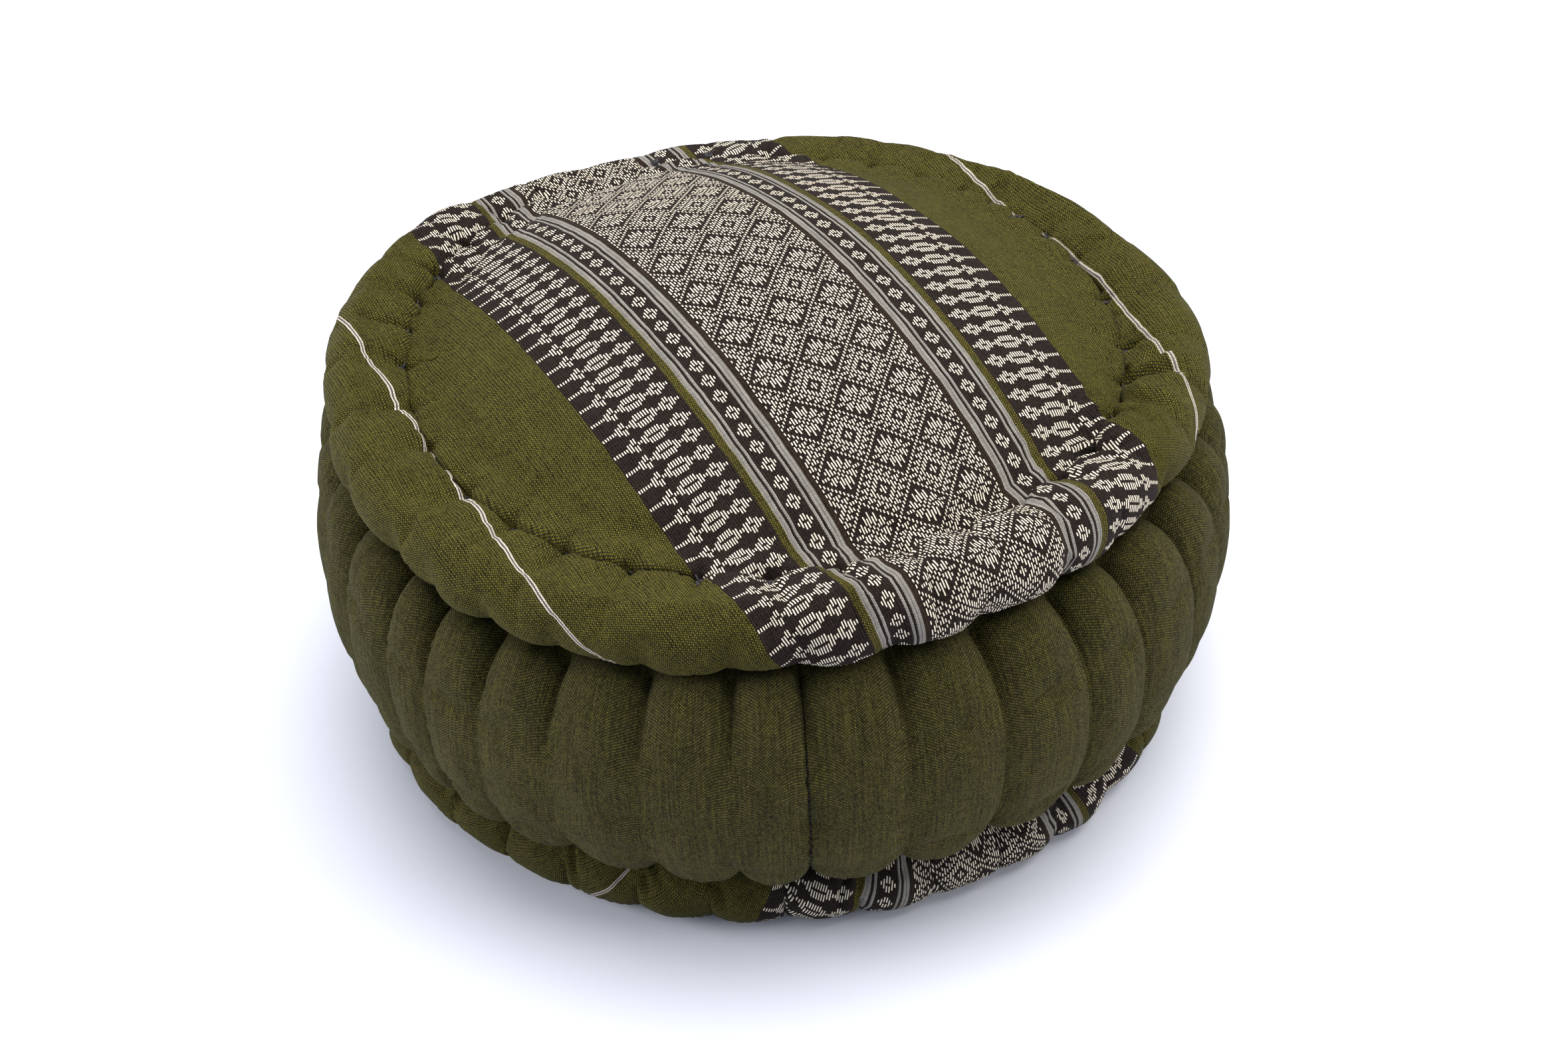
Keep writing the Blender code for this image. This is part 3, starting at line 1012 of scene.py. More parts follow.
def body_section(shape, azimuth, part, fold, minor):
    """One section of the side strip and the filling that it holds."""
    depth = channel_depth(azimuth)
    bridge = math.sin(math.pi * part)
    groove = 1 - bridge**CHANNEL_POWER
    radius, height = rim_centre(azimuth)
    tuft_height = ring_height(azimuth) - CLOTH_THICKNESS - BED_CLEARANCE
    below = CLOTH_THICKNESS + CLEARANCE
    crown = [crown_point(shape, share, azimuth, below) for share in BODY_CROWN_SHARES]
    top_seam = (radius + SEAM_REACH, height - shape.rim_thickness - BED_CLEARANCE)
    base_radius = between_sections(BASE_RADIUS, azimuth)
    base_top = BASE_RIM_HEIGHT + shape.base_rim_thickness + BED_CLEARANCE
    floor_seam = (base_radius + SEAM_REACH, base_top)
    pit = shape.pit_depth + BODY_PIT
    top_bed = [(TUFT_RING_RADIUS - BODY_PIT_INSET, tuft_height - pit)]
    high = top_seam[1] - SEAM_TUCK
    low = floor_seam[1] + SEAM_TUCK
    east, north = directions(azimuth)
    swell_radius = between_sections(SIDE_RADIUS, azimuth) - SWELL_ROOM
    side = []
    for index in range(SIDE_STEPS + 1):
        angle = math.radians(90 - 180 * index / SIDE_STEPS)
        seam_radius = top_seam[0] if angle >= 0 else floor_seam[0]
        swell = abs(math.cos(angle)) ** SIDE_FULLNESS
        rise = math.copysign(abs(math.sin(angle)) ** SIDE_FULLNESS, angle)
        side.append((
            seam_radius + (swell_radius - seam_radius) * swell,
            (high + low) / 2 + rise * (high - low) / 2,
        ))
    lengths = arc_lengths(side)
    heights = []
    for index, (r, z) in enumerate(side):
        from_top = lengths[index]
        from_floor = lengths[-1] - lengths[index]
        to_seam = min(from_top, from_floor)
        start = eased(to_seam / SEWN_EDGE)
        away = min(part, 1 - part) * math.radians(CHANNEL_PITCH) * r
        push = -depth * groove * eased(to_seam / CHANNEL_START)
        pinch, puff = shape.pinch_depth, TOP_PUFF * start
        if from_top >= from_floor:
            pinch *= BASE_PINCH
            puff = BASE_PUFF * eased(to_seam / BASE_PUFF_START)
        push -= pinch * math.exp(-away / PINCH_WIDTH) * fade(to_seam, PINCH_REACH) * start
        push += puff * shape.puff_height * bridge**PUFF_POWER * fade(to_seam, PUFF_REACH)
        push += minor_gathers(minor, fold, part, to_seam) * start
        lump = lumps(r * east, r * north, z, *SIDE_LUMPS)
        push += SIDE_LUMPIER * shape.lump_height * lump * eased(to_seam / SIDE_LUMPS_START)
        to_closing = math.radians(turn_from(azimuth, CLOSING_SEAM_AZIMUTH)) * r
        push -= CLOSING_DEPTH * math.exp(-(to_closing / CLOSING_WIDTH) ** 2) * start
        heights.append(push)
    side = moved_out(side, heights)
    floor_bed = [(TUFT_RING_RADIUS, BASE_TUFT_HEIGHT + CLOTH_THICKNESS + BED_CLEARANCE)]
    section = crown + top_bed + side + floor_bed + flat_points(below)
    return section, arc_lengths(section)


def minor_gathers(minor, fold, part, to_seam):
    """Small folds between the channels, which run a little way out of the seams."""
    push = 0.0
    for where, depth, reach, width in minor[fold]:
        away = (part - where) / width
        push -= depth * math.exp(-away * away) * math.exp(-to_seam / reach)
    return push


# How the base is gathered, in metres
BASE_BED_PARTS = (0.0, 0.3, 0.6, 0.85)
BASE_SEWN_EDGE = 0.004
BASE_LOBE_REST = 0.70
BASE_LOBES_DEEPER = 1.2
BASE_TUFT_DRAWN = 0.0022
BASE_TUFT_WIDTH = 0.001
FLAT_EDGE = (0.008, 0.002)


def base_section(shape, azimuth, part, fold, tufts, rows):
    """One section of the base cloth: the lining, the bed, the rim, the tufts and the flat."""
    bridge = math.sin(math.pi * part)
    base_radius = between_sections(BASE_RADIUS, azimuth)
    lining = flat_points(CLOTH_THICKNESS)[::-1]
    seam_height = BASE_RIM_HEIGHT + shape.base_rim_thickness
    inner = (TUFT_RING_RADIUS, BASE_TUFT_HEIGHT + CLOTH_THICKNESS)
    seam = (base_radius + SEAM_REACH, seam_height)
    bed = points_between(inner, seam, BASE_BED_PARTS)
    east, north = directions(azimuth)
    angles = rim_angles()[::-1]
    thickness = shape.base_rim_thickness
    rim = rolled(base_radius, BASE_RIM_HEIGHT, thickness, -thickness, angles)
    rim = [(r, max(0.0, z)) for r, z in rim]
    lengths = arc_lengths(rim)
    heights = []
    for index, (r, z) in enumerate(rim):
        from_seam = lengths[index]
        way = index / len(angles)
        rising = min(1.0, from_seam / BASE_SEWN_EDGE)
        swell = bridge**BASE_LOBE_POWER - BASE_LOBE_REST
        lump = lumps(r * east, r * north, z, *BASE_LUMPS)
        push = BASE_LOBES_DEEPER * shape.lobe_relief * swell * (0.75 + 0.25 * way) * rising
        push += RIM_LUMPIER * shape.lump_height * lump * rising
        push += crease_height(rows, tufts, fold, azimuth, r, from_seam) * rising
        heights.append(push)
    rim = [(r, max(0.0, z)) for r, z in moved_out(rim, heights)]
    lift = BASE_TUFT_HEIGHT - BASE_TUFT_DRAWN * bridge
    tuft = [
        (TUFT_RING_RADIUS + BASE_TUFT_WIDTH, lift * 0.7),
        (TUFT_RING_RADIUS - BASE_TUFT_WIDTH, lift),
    ]
    edge_out, edge_up = FLAT_EDGE
    flat = [(FLAT_RADIUS + edge_out, edge_up)] + flat_points(0.0)
    section = lining + bed + rim + tuft + flat
    lengths = arc_lengths(section)
    return section, [lengths[-1] - length for length in lengths]


def turned_piece(name, columns, section_at, place_at):
    """A closed piece from a flat grid, whose rows become rings and whose ends are sewn."""
    around = [azimuth for azimuth, _, _ in columns] + [columns[0][0] + 360]
    sections = [section_at(*column) for column in columns]
    sections.append(sections[0])
    rings = len(sections[0][0]) - 1
    segments = len(columns)
    bpy.ops.object.select_all(action="DESELECT")
    bpy.ops.mesh.primitive_grid_add(x_subdivisions=segments, y_subdivisions=rings, size=2)
    piece = bpy.context.object
    piece.name = name
    mesh = piece.data
    mesh.name = name
    places = []
    for vertex in mesh.vertices:
        column = round((vertex.co.x + 1) / 2 * segments)
        ring = rings - round((vertex.co.y + 1) / 2 * rings)
        places.append((ring, column))
        radius, height = sections[column][0][ring]
        radius = 0.0 if ring in (0, rings) else radius
        east, north = directions(around[column])
        vertex.co = (radius * east, radius * north, height)
    while mesh.uv_layers:
        mesh.uv_layers.remove(mesh.uv_layers[0])
    cloth = []
    for loop in mesh.loops:
        ring, column = places[loop.vertex_index]
        cloth.extend(place_at(around[column], sections[column][1][ring]))
    layer = mesh.attributes.new("cloth_mm", "FLOAT_VECTOR", "CORNER")
    layer.data.foreach_set("vector", cloth)
    bpy.ops.object.mode_set(mode="EDIT")
    bpy.ops.mesh.select_all(action="SELECT")
    bpy.ops.mesh.remove_doubles(threshold=0.000001)
    bpy.ops.object.mode_set(mode="OBJECT")
    mesh.shade_smooth()
    mesh.update()
    return piece


FILLING_FRAMES = 20


def fill_out(piece, freedom, pressure, growth, cap):
    """Lets the filling's pressure swell the cloth where it is free, and caps how far it goes."""
    start = [vertex.co.copy() for vertex in piece.data.vertices]
    held = piece.vertex_groups.new(name="held")
    shares = [freedom(vertex.co) for vertex in piece.data.vertices]
    for index, share in enumerate(shares):
        held.add([index], 1 - share, "REPLACE")
    bpy.ops.object.select_all(action="DESELECT")
    bpy.context.view_layer.objects.active = piece
    piece.select_set(True)
    modifier = piece.modifiers.new("filling", "CLOTH")
    settings = modifier.settings
    settings.quality = 4
    settings.mass = 0.3
    settings.tension_stiffness = 15
    settings.compression_stiffness = 15
    settings.shear_stiffness = 5
    settings.bending_stiffness = 0.5
    settings.use_pressure = True
    settings.uniform_pressure_force = pressure
    settings.shrink_min = -growth
    settings.vertex_group_mass = "held"
    settings.pin_stiffness = 1.0
    settings.effector_weights.gravity = 0
    modifier.point_cache.frame_start = 1
    modifier.point_cache.frame_end = FILLING_FRAMES
    for moment in range(1, FILLING_FRAMES + 1):
        bpy.context.scene.frame_set(moment)
    bpy.ops.object.modifier_apply(modifier=modifier.name)
    bpy.context.scene.frame_set(1)
    for vertex, before, share in zip(piece.data.vertices, start, shares):
        move = vertex.co - before
        if move.length > cap * share:
            move *= cap * share / move.length
        vertex.co = before + move
    piece.vertex_groups.clear()
    piece.data.update()


# The third number of a panel's cloth coordinate, which marks the base for its painted shade
ON_TOP, ON_BASE = 0.0, 1.0

# How the cloth lies on the top: its middle, its stretch across and along the band, where the
# band's edges come to lie, and how the green cloth is drawn past them
TOP_MIDDLE_MM = 7.0
ACROSS_STRETCH, ACROSS_CURVE = 1.00334, 0.000417
ALONG_REPEAT_MM, ALONG_SEEN_MM, ALONG_CURVE, ALONG_START = 26.8, 26.9, 0.000008, 0.223
LEFT_EDGE_MM = -93.9
LEFT_STRETCH = 0.94
RIGHT_EDGE_MM = 102.0
RIGHT_STRETCH = 0.86
RIGHT_DRAW_MM = 25
NEAR_SKEW, NEAR_FROM_MM = 0.2, -40
MIDDLE_BOW_MM, MIDDLE_REACH_MM = 1.5, 22


def top_cloth_place(azimuth, way):
    """Where a point of the top lies in the cloth: millimetres across and along the band."""
    turn = math.radians(azimuth - TOP_ACROSS_AZIMUTH)
    across = way / MM * math.cos(turn) + TOP_MIDDLE_MM
    along = way / MM * math.sin(turn)
    stretched = ALONG_REPEAT_MM * (
        along / ALONG_SEEN_MM - ALONG_CURVE * along * along + ALONG_START)
    drawn = ACROSS_STRETCH * across - ACROSS_CURVE * across * across
    if across < LEFT_EDGE_MM:
        drawn = -BAND_HALF_MM + LEFT_STRETCH * (across - LEFT_EDGE_MM)
    elif across > RIGHT_EDGE_MM:
        drawn = BAND_HALF_MM + RIGHT_STRETCH * (across - RIGHT_EDGE_MM)
        outer = eased((across - RIGHT_EDGE_MM) / RIGHT_DRAW_MM)
        drawn += NEAR_SKEW * max(0.0, NEAR_FROM_MM - along) * outer
        drawn -= MIDDLE_BOW_MM * math.exp(-(along / MIDDLE_REACH_MM) ** 2) * outer
    return drawn, stretched, ON_TOP


def base_cloth_place(azimuth, way):
    """The same for the base, whose way is counted from the middle of the flat."""
    turn = math.radians(azimuth - BASE_ACROSS_AZIMUTH)
    reach = way / MM
    return reach * math.cos(turn), reach * math.sin(turn), ON_BASE


SIDE_RADIUS_MM = 200.0


def side_cloth_place(azimuth, way):
    """The same for the side, and third how far it is from the closing seam."""
    from_closing = math.radians(turn_from(azimuth, CLOSING_SEAM_AZIMUTH))
    return math.radians(azimuth) * SIDE_RADIUS_MM, way / MM, from_closing * SIDE_RADIUS_MM


def dress(piece, material, node):
    """Gives a padded piece its cloth, and sets it in the place of its CAD node."""
    piece.data.materials.clear()
    piece.data.materials.append(material)
    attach(piece, "root")
    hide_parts(node)


def material_once(name, maker, *given):
    """The material of this name, made the first time that it is asked for."""
    return bpy.data.materials.get(name) or maker(name, *given)


def tuft_azimuths():
    return all_round(TUFTS_IN_VIEW, TUFT_PITCH)


def channel_azimuths():
    return all_round(tuple(azimuth for azimuth, _ in CHANNELS), CHANNEL_PITCH)


def eased(share):
    share = max(0.0, min(1.0, share))
    return share * share * (3 - 2 * share)


# How near to a seam, a channel or a tuft the cloth is held against the filling
SEAM_HOLD = 0.016
CHANNEL_HOLD = 0.004
FULL_CHANNEL_DEPTH = 0.005
TUFT_HOLD = 0.012
CROWN_FREE_FROM = 0.116
CROWN_FREE_OVER = 0.018
RIM_FREE_ANGLES = (-78, 150)
RIM_FREE_OVER = 40


def side_freedom(shape, channels):
    """How freely a point of the body may swell: not at all at the seams and out of sight."""

    def freedom(place):
        azimuth = math.degrees(math.atan2(place.y, place.x))
        reach = math.hypot(place.x, place.y)
        if reach < TUFT_RING_RADIUS:
            return 0.0
        high = rim_centre(azimuth)[1] - shape.rim_thickness
        low = BASE_RIM_HEIGHT + shape.base_rim_thickness
        away = math.radians(away_from(azimuth, channels)) * reach
        sewn = channel_depth(azimuth) / FULL_CHANNEL_DEPTH * math.exp(-(away / CHANNEL_HOLD) ** 2)
        return eased(min(high - place.z, place.z - low) / SEAM_HOLD) * (1 - min(1.0, sewn))

    return freedom


# Where the crown's side stays flatter: its middle azimuth, half its spread, how soon that fades
FLAT_SIDE_AZIMUTH = 40
FLAT_SIDE_SPREAD = 75
FLAT_SIDE_FADE = 35
FLAT_SIDE_HOLD = 0.85


def top_freedom(shape, tufts):
    """How freely a point of the top may swell: not at the tufts, the seam or the lining."""

    def freedom(place):
        azimuth = math.degrees(math.atan2(place.y, place.x)) % 360
        reach = math.hypot(place.x, place.y)
        away = math.radians(away_from(azimuth, tufts)) * reach
        to_tuft = math.hypot(reach - TUFT_RING_RADIUS, away)
        radius, height = rim_centre(azimuth)
        if reach < TUFT_RING_RADIUS - 0.002:
            share = reach / TUFT_RING_RADIUS
            under = crown_point(shape, share, azimuth)[1] - place.z
            if under > 0.6 * CLOTH_THICKNESS:
                return 0.0
            from_flat = away_from(azimuth, (FLAT_SIDE_AZIMUTH,))
            flat = 1 - FLAT_SIDE_HOLD * eased((FLAT_SIDE_SPREAD - from_flat) / FLAT_SIDE_FADE)
            past = (reach - CROWN_FREE_FROM) / CROWN_FREE_OVER
            return flat * eased(to_tuft / TUFT_HOLD) * eased(past)
        angle = math.degrees(math.atan2(place.z - height, reach - radius))
        lowest, highest = RIM_FREE_ANGLES
        if not lowest < angle < highest:
            return 0.0
        return eased(to_tuft / TUFT_HOLD) * eased((angle - lowest) / RIM_FREE_OVER)

    return freedom


def base_freedom(shape):
    """How freely a point of the base may swell: only its rim, between the floor and the seam."""

    def freedom(place):
        azimuth = math.degrees(math.atan2(place.y, place.x))
        if math.hypot(place.x, place.y) < between_sections(BASE_RADIUS, azimuth) + SEAM_REACH:
            return 0.0
        seam = BASE_RIM_HEIGHT + shape.base_rim_thickness
        return eased((place.z - 0.002) / 0.008) * eased((seam - place.z) / 0.010)

    return freedom


# Angle from straight out and length of each crease that runs out of a tuft
TOP_CREASES_INWARD = ((180, 0.016), (140, 0.013), (-140, 0.013))
TOP_CREASES_OUTWARD = ((0, 0.034), (28, 0.022), (-30, 0.020), (88, 0.013), (-88, 0.013))
BASE_CREASES_OUTWARD = ((10, 0.030), (38, 0.022), (-35, 0.022))
BASE_CREASES_DEEPER = 1.9
# Seeds of the random draws
TOP_CREASE_SEED = 11
BASE_CREASE_SEED = 5
GATHER_SEED = 23
# Small gathers between two channels: how many, and the least and most of each one's place,
# depth, reach and width
GATHERS_A_PUFF = 4
GATHER_PLACE = (0.15, 0.85)
GATHER_DEPTH = (0.0003, 0.0011)
GATHER_REACH = (0.008, 0.030)
GATHER_WIDTH = (0.03, 0.07)


class ZAFU_OT_top_cloth(bpy.types.Operator):
    """Make the crowned top with its tufted, rolled rim"""

    bl_idname = "zafu.top_cloth"
    bl_label = "Top cloth"

    def execute(self, context):
        scene = context.scene
        shape = scene.zafu_shape
        tufts = tuft_azimuths()
        channels = channel_azimuths()
        rows = creases_of(
            tufts, TOP_CREASE_SEED, shape.crease_depth,
            TOP_CREASES_INWARD + TOP_CREASES_OUTWARD)
        columns = columns_between(tufts, TUFT_COLUMNS)
        piece = turned_piece(
            "top_cloth", columns,
            lambda azimuth, part, fold: top_section(
                shape, azimuth, part, fold, tufts, channels, rows),
            top_cloth_place)
        fill_out(piece, top_freedom(shape, tufts), pressure=3.0, growth=0.022, cap=0.004)
        cloth = material_once(
            "woven_band_cloth", banded_cloth, scene.zafu_weave, scene.zafu_colours)
        dress(piece, cloth, "top_panel")
        return {"FINISHED"}


class ZAFU_OT_side_cloth(bpy.types.Operator):
    """Make the filled body with its gathered and channelled side"""

    bl_idname = "zafu.side_cloth"
    bl_label = "Side cloth"

    def execute(self, context):
        scene = context.scene
        shape = scene.zafu_shape
        channels = channel_azimuths()
        chance = random.Random(GATHER_SEED)
        minor = []
        for _ in channels:
            minor.append([
                (chance.uniform(*GATHER_PLACE), chance.uniform(*GATHER_DEPTH),
                 chance.uniform(*GATHER_REACH), chance.uniform(*GATHER_WIDTH))
                for _ in range(GATHERS_A_PUFF)
            ])
        columns = columns_between(channels, CHANNEL_COLUMNS)
        piece = turned_piece(
            "side_cloth", columns,
            lambda azimuth, part, fold: body_section(shape, azimuth, part, fold, minor),
            side_cloth_place)
        fill_out(piece, side_freedom(shape, channels), pressure=3.0, growth=0.015, cap=0.005)
        cloth = material_once(
            "olive_side_cloth", plain_cloth, scene.zafu_weave, scene.zafu_colours)
        dress(piece, cloth, "cushion_body")
        return {"FINISHED"}


class ZAFU_OT_base_cloth(bpy.types.Operator):
    """Make the base with its puckered rolled rim and its flat"""

    bl_idname = "zafu.base_cloth"
    bl_label = "Base cloth"

    def execute(self, context):
        scene = context.scene
        shape = scene.zafu_shape
        tufts = tuft_azimuths()
        rows = creases_of(
            tufts, BASE_CREASE_SEED, BASE_CREASES_DEEPER * shape.crease_depth,
            BASE_CREASES_OUTWARD)
        columns = columns_between(tufts, TUFT_COLUMNS)
        piece = turned_piece(
            "base_cloth", columns,
            lambda azimuth, part, fold: base_section(shape, azimuth, part, fold, tufts, rows),
            base_cloth_place)
        fill_out(piece, base_freedom(shape), pressure=2.0, growth=0.035, cap=0.003)
        cloth = material_once(
            "woven_band_cloth", banded_cloth, scene.zafu_weave, scene.zafu_colours)
        dress(piece, cloth, "base_panel")
        return {"FINISHED"}


# The knots' piece, its cloth, the way they face, and how far they stand out of the cloth
KNOTS = (("top_knots", "top_cloth", 1, 0.0018), ("base_knots", "base_cloth", -1, -0.0012))
KNOT_SEED = 41
KNOT_RADIUS = 0.0013
KNOT_THREAD_RADIUS = 0.00075
KNOT_END_RADIUS = 0.00036
KNOT_END_LENGTH = 0.0042
KNOT_END_START = 0.0008
KNOT_END_REACH = 0.0018
# The knot's turns of thread: tilt, azimuth and height. Its cut ends: lean and azimuth
KNOT_TURNS = ((18, 0, 0.0005), (-24, 70, 0.0011))
KNOT_ENDS = ((52, 25), (64, 205))
STITCH_SIZE = (0.00042, 0.00042, 0.0017)
STITCH_LIFT = 0.0001
CLOSING_STITCHES = 26
CLOSING_LOW = 0.040
CLOSING_HIGH = 0.138
SEAM_STITCHES = 260
SEAM_STITCH_OUT = 0.0012
SEAM_SLANT = math.radians(12)


def made_piece(name):
    """A piece that another operator has made."""
    piece = bpy.data.objects.get(name)
    if piece is None:
        raise RuntimeError(f"{name} has to be made first")
    return piece


def cloth_face(cloth, radius, azimuth, upward):
    """The point and the normal of the cloth's outer face, seen from above or from below."""
    east, north = directions(azimuth)
    start = Vector((radius * east, radius * north, 0.5 * upward))
    found, place, normal, _ = cloth.ray_cast(start, Vector((0, 0, -upward)))
    if not found:
        raise RuntimeError(f"{cloth.name} has no face at {azimuth:.0f} degrees")
    return place, normal


def joined(parts, name):
    """These objects as one mesh at the origin, with their places in it."""
    bpy.ops.object.select_all(action="DESELECT")
    for part in parts:
        part.select_set(True)
    bpy.context.view_layer.objects.active = parts[0]
    bpy.ops.object.transform_apply(location=True, rotation=True, scale=True)
    bpy.ops.object.join()
    piece = bpy.context.object
    piece.name = name
    piece.data.name = name
    return piece


def knot_model():
    """A knot of the tufting thread: two turns pulled tight, and its cut ends."""
    bpy.ops.object.select_all(action="DESELECT")
    parts = []
    for tilt, turn, height in KNOT_TURNS:
        bpy.ops.mesh.primitive_torus_add(
            major_segments=9, minor_segments=5,
            major_radius=KNOT_RADIUS, minor_radius=KNOT_THREAD_RADIUS,
            location=(0, 0, height), rotation=(math.radians(tilt), 0, math.radians(turn)))
        parts.append(bpy.context.object)
    for lean, turn in KNOT_ENDS:
        east, north = directions(turn)
        up, out = directions(lean)
        direction = Vector((out * east, out * north, up))
        bpy.ops.mesh.primitive_cylinder_add(
            vertices=5, radius=KNOT_END_RADIUS, depth=KNOT_END_LENGTH,
            location=Vector((0, 0, KNOT_END_START)) + direction * KNOT_END_REACH,
            rotation=direction.to_track_quat("Z", "Y").to_euler())
        parts.append(bpy.context.object)
    return joined(parts, "knot_model")


def stitch_model():
    """One stitch of a seam, lying along X."""
    bpy.ops.object.select_all(action="DESELECT")
    bpy.ops.mesh.primitive_uv_sphere_add(
        segments=6, ring_count=5, radius=1.0, rotation=(0, math.radians(90), 0))
    bpy.context.object.scale = STITCH_SIZE
    return joined([bpy.context.object], "stitch_model")


def sewn(model, name, placings, thread):
    """Copies of a model at these placings, each with its own mesh, joined as one piece."""
    copies = []
    for placing in placings:
        copy = model.copy()
        copy.data = model.data.copy()
        bpy.context.scene.collection.objects.link(copy)
        copy.matrix_world = placing
        copies.append(copy)
    bpy.data.objects.remove(model)
    piece = joined(copies, name)
    piece.data.shade_smooth()
    piece.data.materials.append(thread)
    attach(piece, "root")


def standing(place, normal, turn):
    """A placing whose Z is along a normal, turned about it."""
    upright = normal.to_track_quat("Z", "Y").to_matrix().to_4x4()
    return Matrix.Translation(place) @ upright @ Matrix.Rotation(turn, 4, "Z")


class ZAFU_OT_knots(bpy.types.Operator):
    """Tie a knot of the tufting thread at each tuft of the top and of the base"""

    bl_idname = "zafu.knots"
    bl_label = "Tuft knots"

    def execute(self, context):
        scene = context.scene
        thread = material_once("tufting_thread", thread_cloth, scene.zafu_colours.thread)
        context.view_layer.update()
        chance = random.Random(KNOT_SEED)
        for name, cloth_name, upward, lift in KNOTS:
            cloth = made_piece(cloth_name)
            placings = []
            for azimuth in tuft_azimuths():
                place, normal = cloth_face(cloth, TUFT_RING_RADIUS, azimuth, upward)
                facing = (normal + 2 * Vector((0, 0, upward))).normalized()
                placings.append(
                    standing(place + lift * facing, facing, chance.uniform(0, 2 * math.pi)))
            sewn(knot_model(), name, placings, thread)
        return {"FINISHED"}


def top_seam_place(shape, azimuth):
    """Radius and height of the seam under the top's rim."""
    radius, height = rim_centre(azimuth)
    return radius, height - (shape.rim_thickness + 0.5 * BED_CLEARANCE)


def base_seam_place(shape, azimuth):
    """Radius and height of the seam over the base's rim."""
    height = BASE_RIM_HEIGHT + shape.base_rim_thickness + 0.5 * BED_CLEARANCE
    return between_sections(BASE_RADIUS, azimuth), height


def ring_placings(seam_at):
    """Placings of the stitches of a seam that runs all round."""
    placings = []
    for step in range(SEAM_STITCHES):
        azimuth = 360 * step / SEAM_STITCHES
        radius, height = seam_at(azimuth)
        east, north = directions(azimuth)
        reach = radius + SEAM_REACH + SEAM_STITCH_OUT
        turn = math.radians(azimuth) + math.radians(90) + SEAM_SLANT
        placings.append(
            Matrix.Translation((reach * east, reach * north, height))
            @ Matrix.Rotation(turn, 4, "Z"))
    return placings


def closing_placings(side):
    """Placings of the stitches down the closing seam, on the side's outer face."""
    outward = Vector((*directions(CLOSING_SEAM_AZIMUTH), 0))
    sideways = Vector((-outward.y, outward.x, 0))
    placings = []
    for step in range(CLOSING_STITCHES):
        height = CLOSING_LOW + (CLOSING_HIGH - CLOSING_LOW) * step / (CLOSING_STITCHES - 1)
        start = 0.3 * outward + Vector((0, 0, height))
        found, place, normal, _ = side.ray_cast(start, -outward)
        if not found:
            raise RuntimeError(f"side_cloth has no face at a height of {height:.3f} m")
        along = normal.cross(sideways).normalized()
        across = along.cross(normal).normalized()
        turned = Matrix((along, across, normal)).transposed().to_4x4()
        placings.append(Matrix.Translation(place + STITCH_LIFT * normal) @ turned)
    return placings


class ZAFU_OT_seams(bpy.types.Operator):
    """Sew the side to the top and to the base"""

    bl_idname = "zafu.seams"
    bl_label = "Seam stitches"

    def execute(self, context):
        scene = context.scene
        shape = scene.zafu_shape
        thread = material_once("sewing_thread", thread_cloth, scene.zafu_colours.side_weft)
        sewn(stitch_model(), "top_seam", ring_placings(
            lambda azimuth: top_seam_place(shape, azimuth)), thread)
        sewn(stitch_model(), "base_seam", ring_placings(
            lambda azimuth: base_seam_place(shape, azimuth)), thread)
        side = made_piece("side_cloth")
        context.view_layer.update()
        sewn(stitch_model(), "closing_seam", closing_placings(side), thread)
        return {"FINISHED"}


# Each light's name, place, size in metres, power in watts and colour
LIGHTS = (
    ("top_light", (0.40, 0.3, 2.0), 2.8, 75.0, (1.0, 0.985, 0.96)),
    ("left_light", (-2.2, -0.1, 0.70), 1.2, 39.0, (0.97, 0.98, 1.0)),
    ("right_light", (2.1, -0.5, 0.6), 0.8, 17.0, (1.0, 0.99, 0.97)),
)
LIGHTS_AIM_HEIGHT = 0.1
WORLD_COLOUR = (0.76, 0.85, 1.0, 1.0)
WORLD_STRENGTH = 0.34
FLOOR_RADIUS = 4.0


class ZAFU_OT_stage(bpy.types.Operator):
    """Set the pale floor, the soft lights and the camera"""

    bl_idname = "zafu.stage"
    bl_label = "Stage"

    def execute(self, context):
        scene = context.scene
        bpy.ops.object.select_all(action="DESELECT")
        bpy.ops.mesh.primitive_circle_add(vertices=96, radius=FLOOR_RADIUS, fill_type="NGON")
        floor = context.object
        floor.name = "floor"
        sheet = Sheet("floor")
        place = sheet.node("ShaderNodeTexCoord", output=3)
        cloudy = sheet.noise(place, 2.0)
        colour = sheet.scaled(tuple(scene.zafu_colours.floor)[:3], 0.98 + 0.04 * cloudy)
        floor.data.materials.append(
            sheet.finish(colour, 0.7, cloudy, bump_distance=0.0001, sheen=0.0))
        scene.view_settings.view_transform = "Standard"
        world = bpy.data.worlds.new("studio")
        scene.world = world
        world.use_nodes = True
        sky = world.node_tree.nodes["Background"]
        sky.inputs["Color"].default_value = WORLD_COLOUR
        sky.inputs["Strength"].default_value = WORLD_STRENGTH
        for name, place, size, power, colour in LIGHTS:
            light = bpy.data.lights.new(name, "AREA")
            light.shape = "DISK"
            light.size = size
            light.energy = power
            light.color = colour
            lamp = bpy.data.objects.new(name, light)
            scene.collection.objects.link(lamp)
            lamp.location = place
            aim = Vector((0, 0, LIGHTS_AIM_HEIGHT)) - Vector(place)
            lamp.rotation_euler = aim.to_track_quat("-Z", "Y").to_euler()
        scene.camera = photo_camera(scene)
        return {"FINISHED"}


# The camera, from the perspective solved in the photo: angles in radians, lengths in metres
PHOTO_ELEVATION = 0.68467
PHOTO_DISTANCE = 0.94918
PHOTO_FOCAL_PX = 3237.85
PHOTO_SHIFT_X = 0.00561
PHOTO_SHIFT_Y = -0.01435
PHOTO_ROLL = -0.04424
PHOTO_AIM_HEIGHT = 0.09
PHOTO_WIDTH_PX = 2359
SENSOR_WIDTH_MM = 36.0


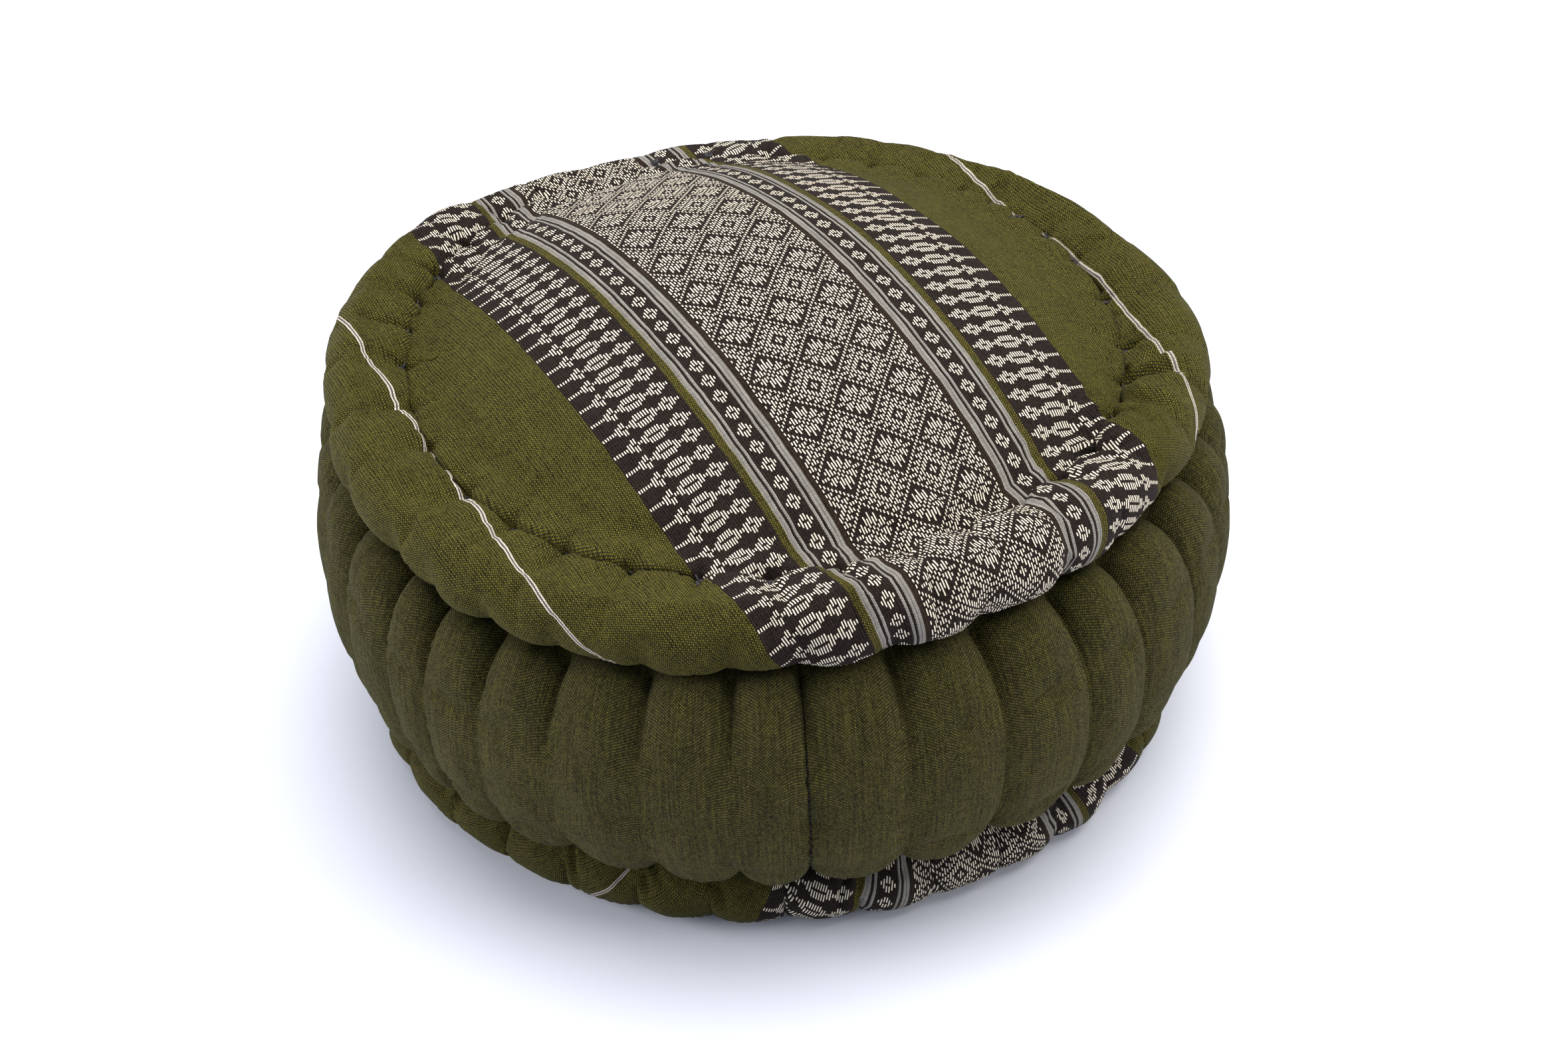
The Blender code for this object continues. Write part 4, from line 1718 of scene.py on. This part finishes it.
def photo_camera(scene):
    """The camera where the photograph was taken from."""
    data = bpy.data.cameras.new("camera")
    data.sensor_width = SENSOR_WIDTH_MM
    data.lens = PHOTO_FOCAL_PX * SENSOR_WIDTH_MM / PHOTO_WIDTH_PX
    camera = bpy.data.objects.new("camera", data)
    scene.collection.objects.link(camera)
    sine, cosine = math.sin(PHOTO_ELEVATION), math.cos(PHOTO_ELEVATION)
    back = Vector((0, -cosine, sine))
    level = Vector((1, 0, 0))
    raised = Vector((0, sine, cosine))
    right = math.cos(PHOTO_ROLL) * level + math.sin(PHOTO_ROLL) * raised
    up = math.cos(PHOTO_ROLL) * raised - math.sin(PHOTO_ROLL) * level
    place = Vector((0, 0, PHOTO_AIM_HEIGHT)) + back * PHOTO_DISTANCE
    place += right * PHOTO_SHIFT_X + up * PHOTO_SHIFT_Y
    turn = Matrix((right, up, back)).transposed().to_4x4()
    camera.matrix_world = Matrix.Translation(place) @ turn
    return camera


class ZAFU_PT_sidebar(bpy.types.Panel):
    """Lists what the add-on makes"""

    bl_label = "Zafu"
    bl_idname = "ZAFU_PT_sidebar"
    bl_space_type = "VIEW_3D"
    bl_region_type = "UI"
    bl_category = "Zafu"

    def draw(self, context):
        for maker in MAKERS:
            self.layout.operator(maker.bl_idname)
        for group in (
            context.scene.zafu_shape, context.scene.zafu_weave, context.scene.zafu_colours
        ):
            for name in group.bl_rna.properties.keys():
                if name not in ("rna_type", "name"):
                    self.layout.prop(group, name)


MAKERS = (
    ZAFU_OT_top_cloth, ZAFU_OT_side_cloth, ZAFU_OT_base_cloth, ZAFU_OT_knots, ZAFU_OT_seams,
    ZAFU_OT_stage,
)
GROUPS = (ZafuShape, ZafuWeave, ZafuColours)


def register():
    for kind in GROUPS + MAKERS + (ZAFU_PT_sidebar,):
        bpy.utils.register_class(kind)
    bpy.types.Scene.zafu_shape = bpy.props.PointerProperty(type=ZafuShape)
    bpy.types.Scene.zafu_weave = bpy.props.PointerProperty(type=ZafuWeave)
    bpy.types.Scene.zafu_colours = bpy.props.PointerProperty(type=ZafuColours)


def unregister():
    del bpy.types.Scene.zafu_shape
    del bpy.types.Scene.zafu_weave
    del bpy.types.Scene.zafu_colours
    for kind in reversed(GROUPS + MAKERS + (ZAFU_PT_sidebar,)):
        bpy.utils.unregister_class(kind)


def main():
    register()
    bpy.ops.zafu.top_cloth()
    bpy.ops.zafu.side_cloth()
    bpy.ops.zafu.base_cloth()
    bpy.ops.zafu.knots()
    bpy.ops.zafu.seams()
    bpy.ops.zafu.stage()


if __name__ == "__main__":
    main()
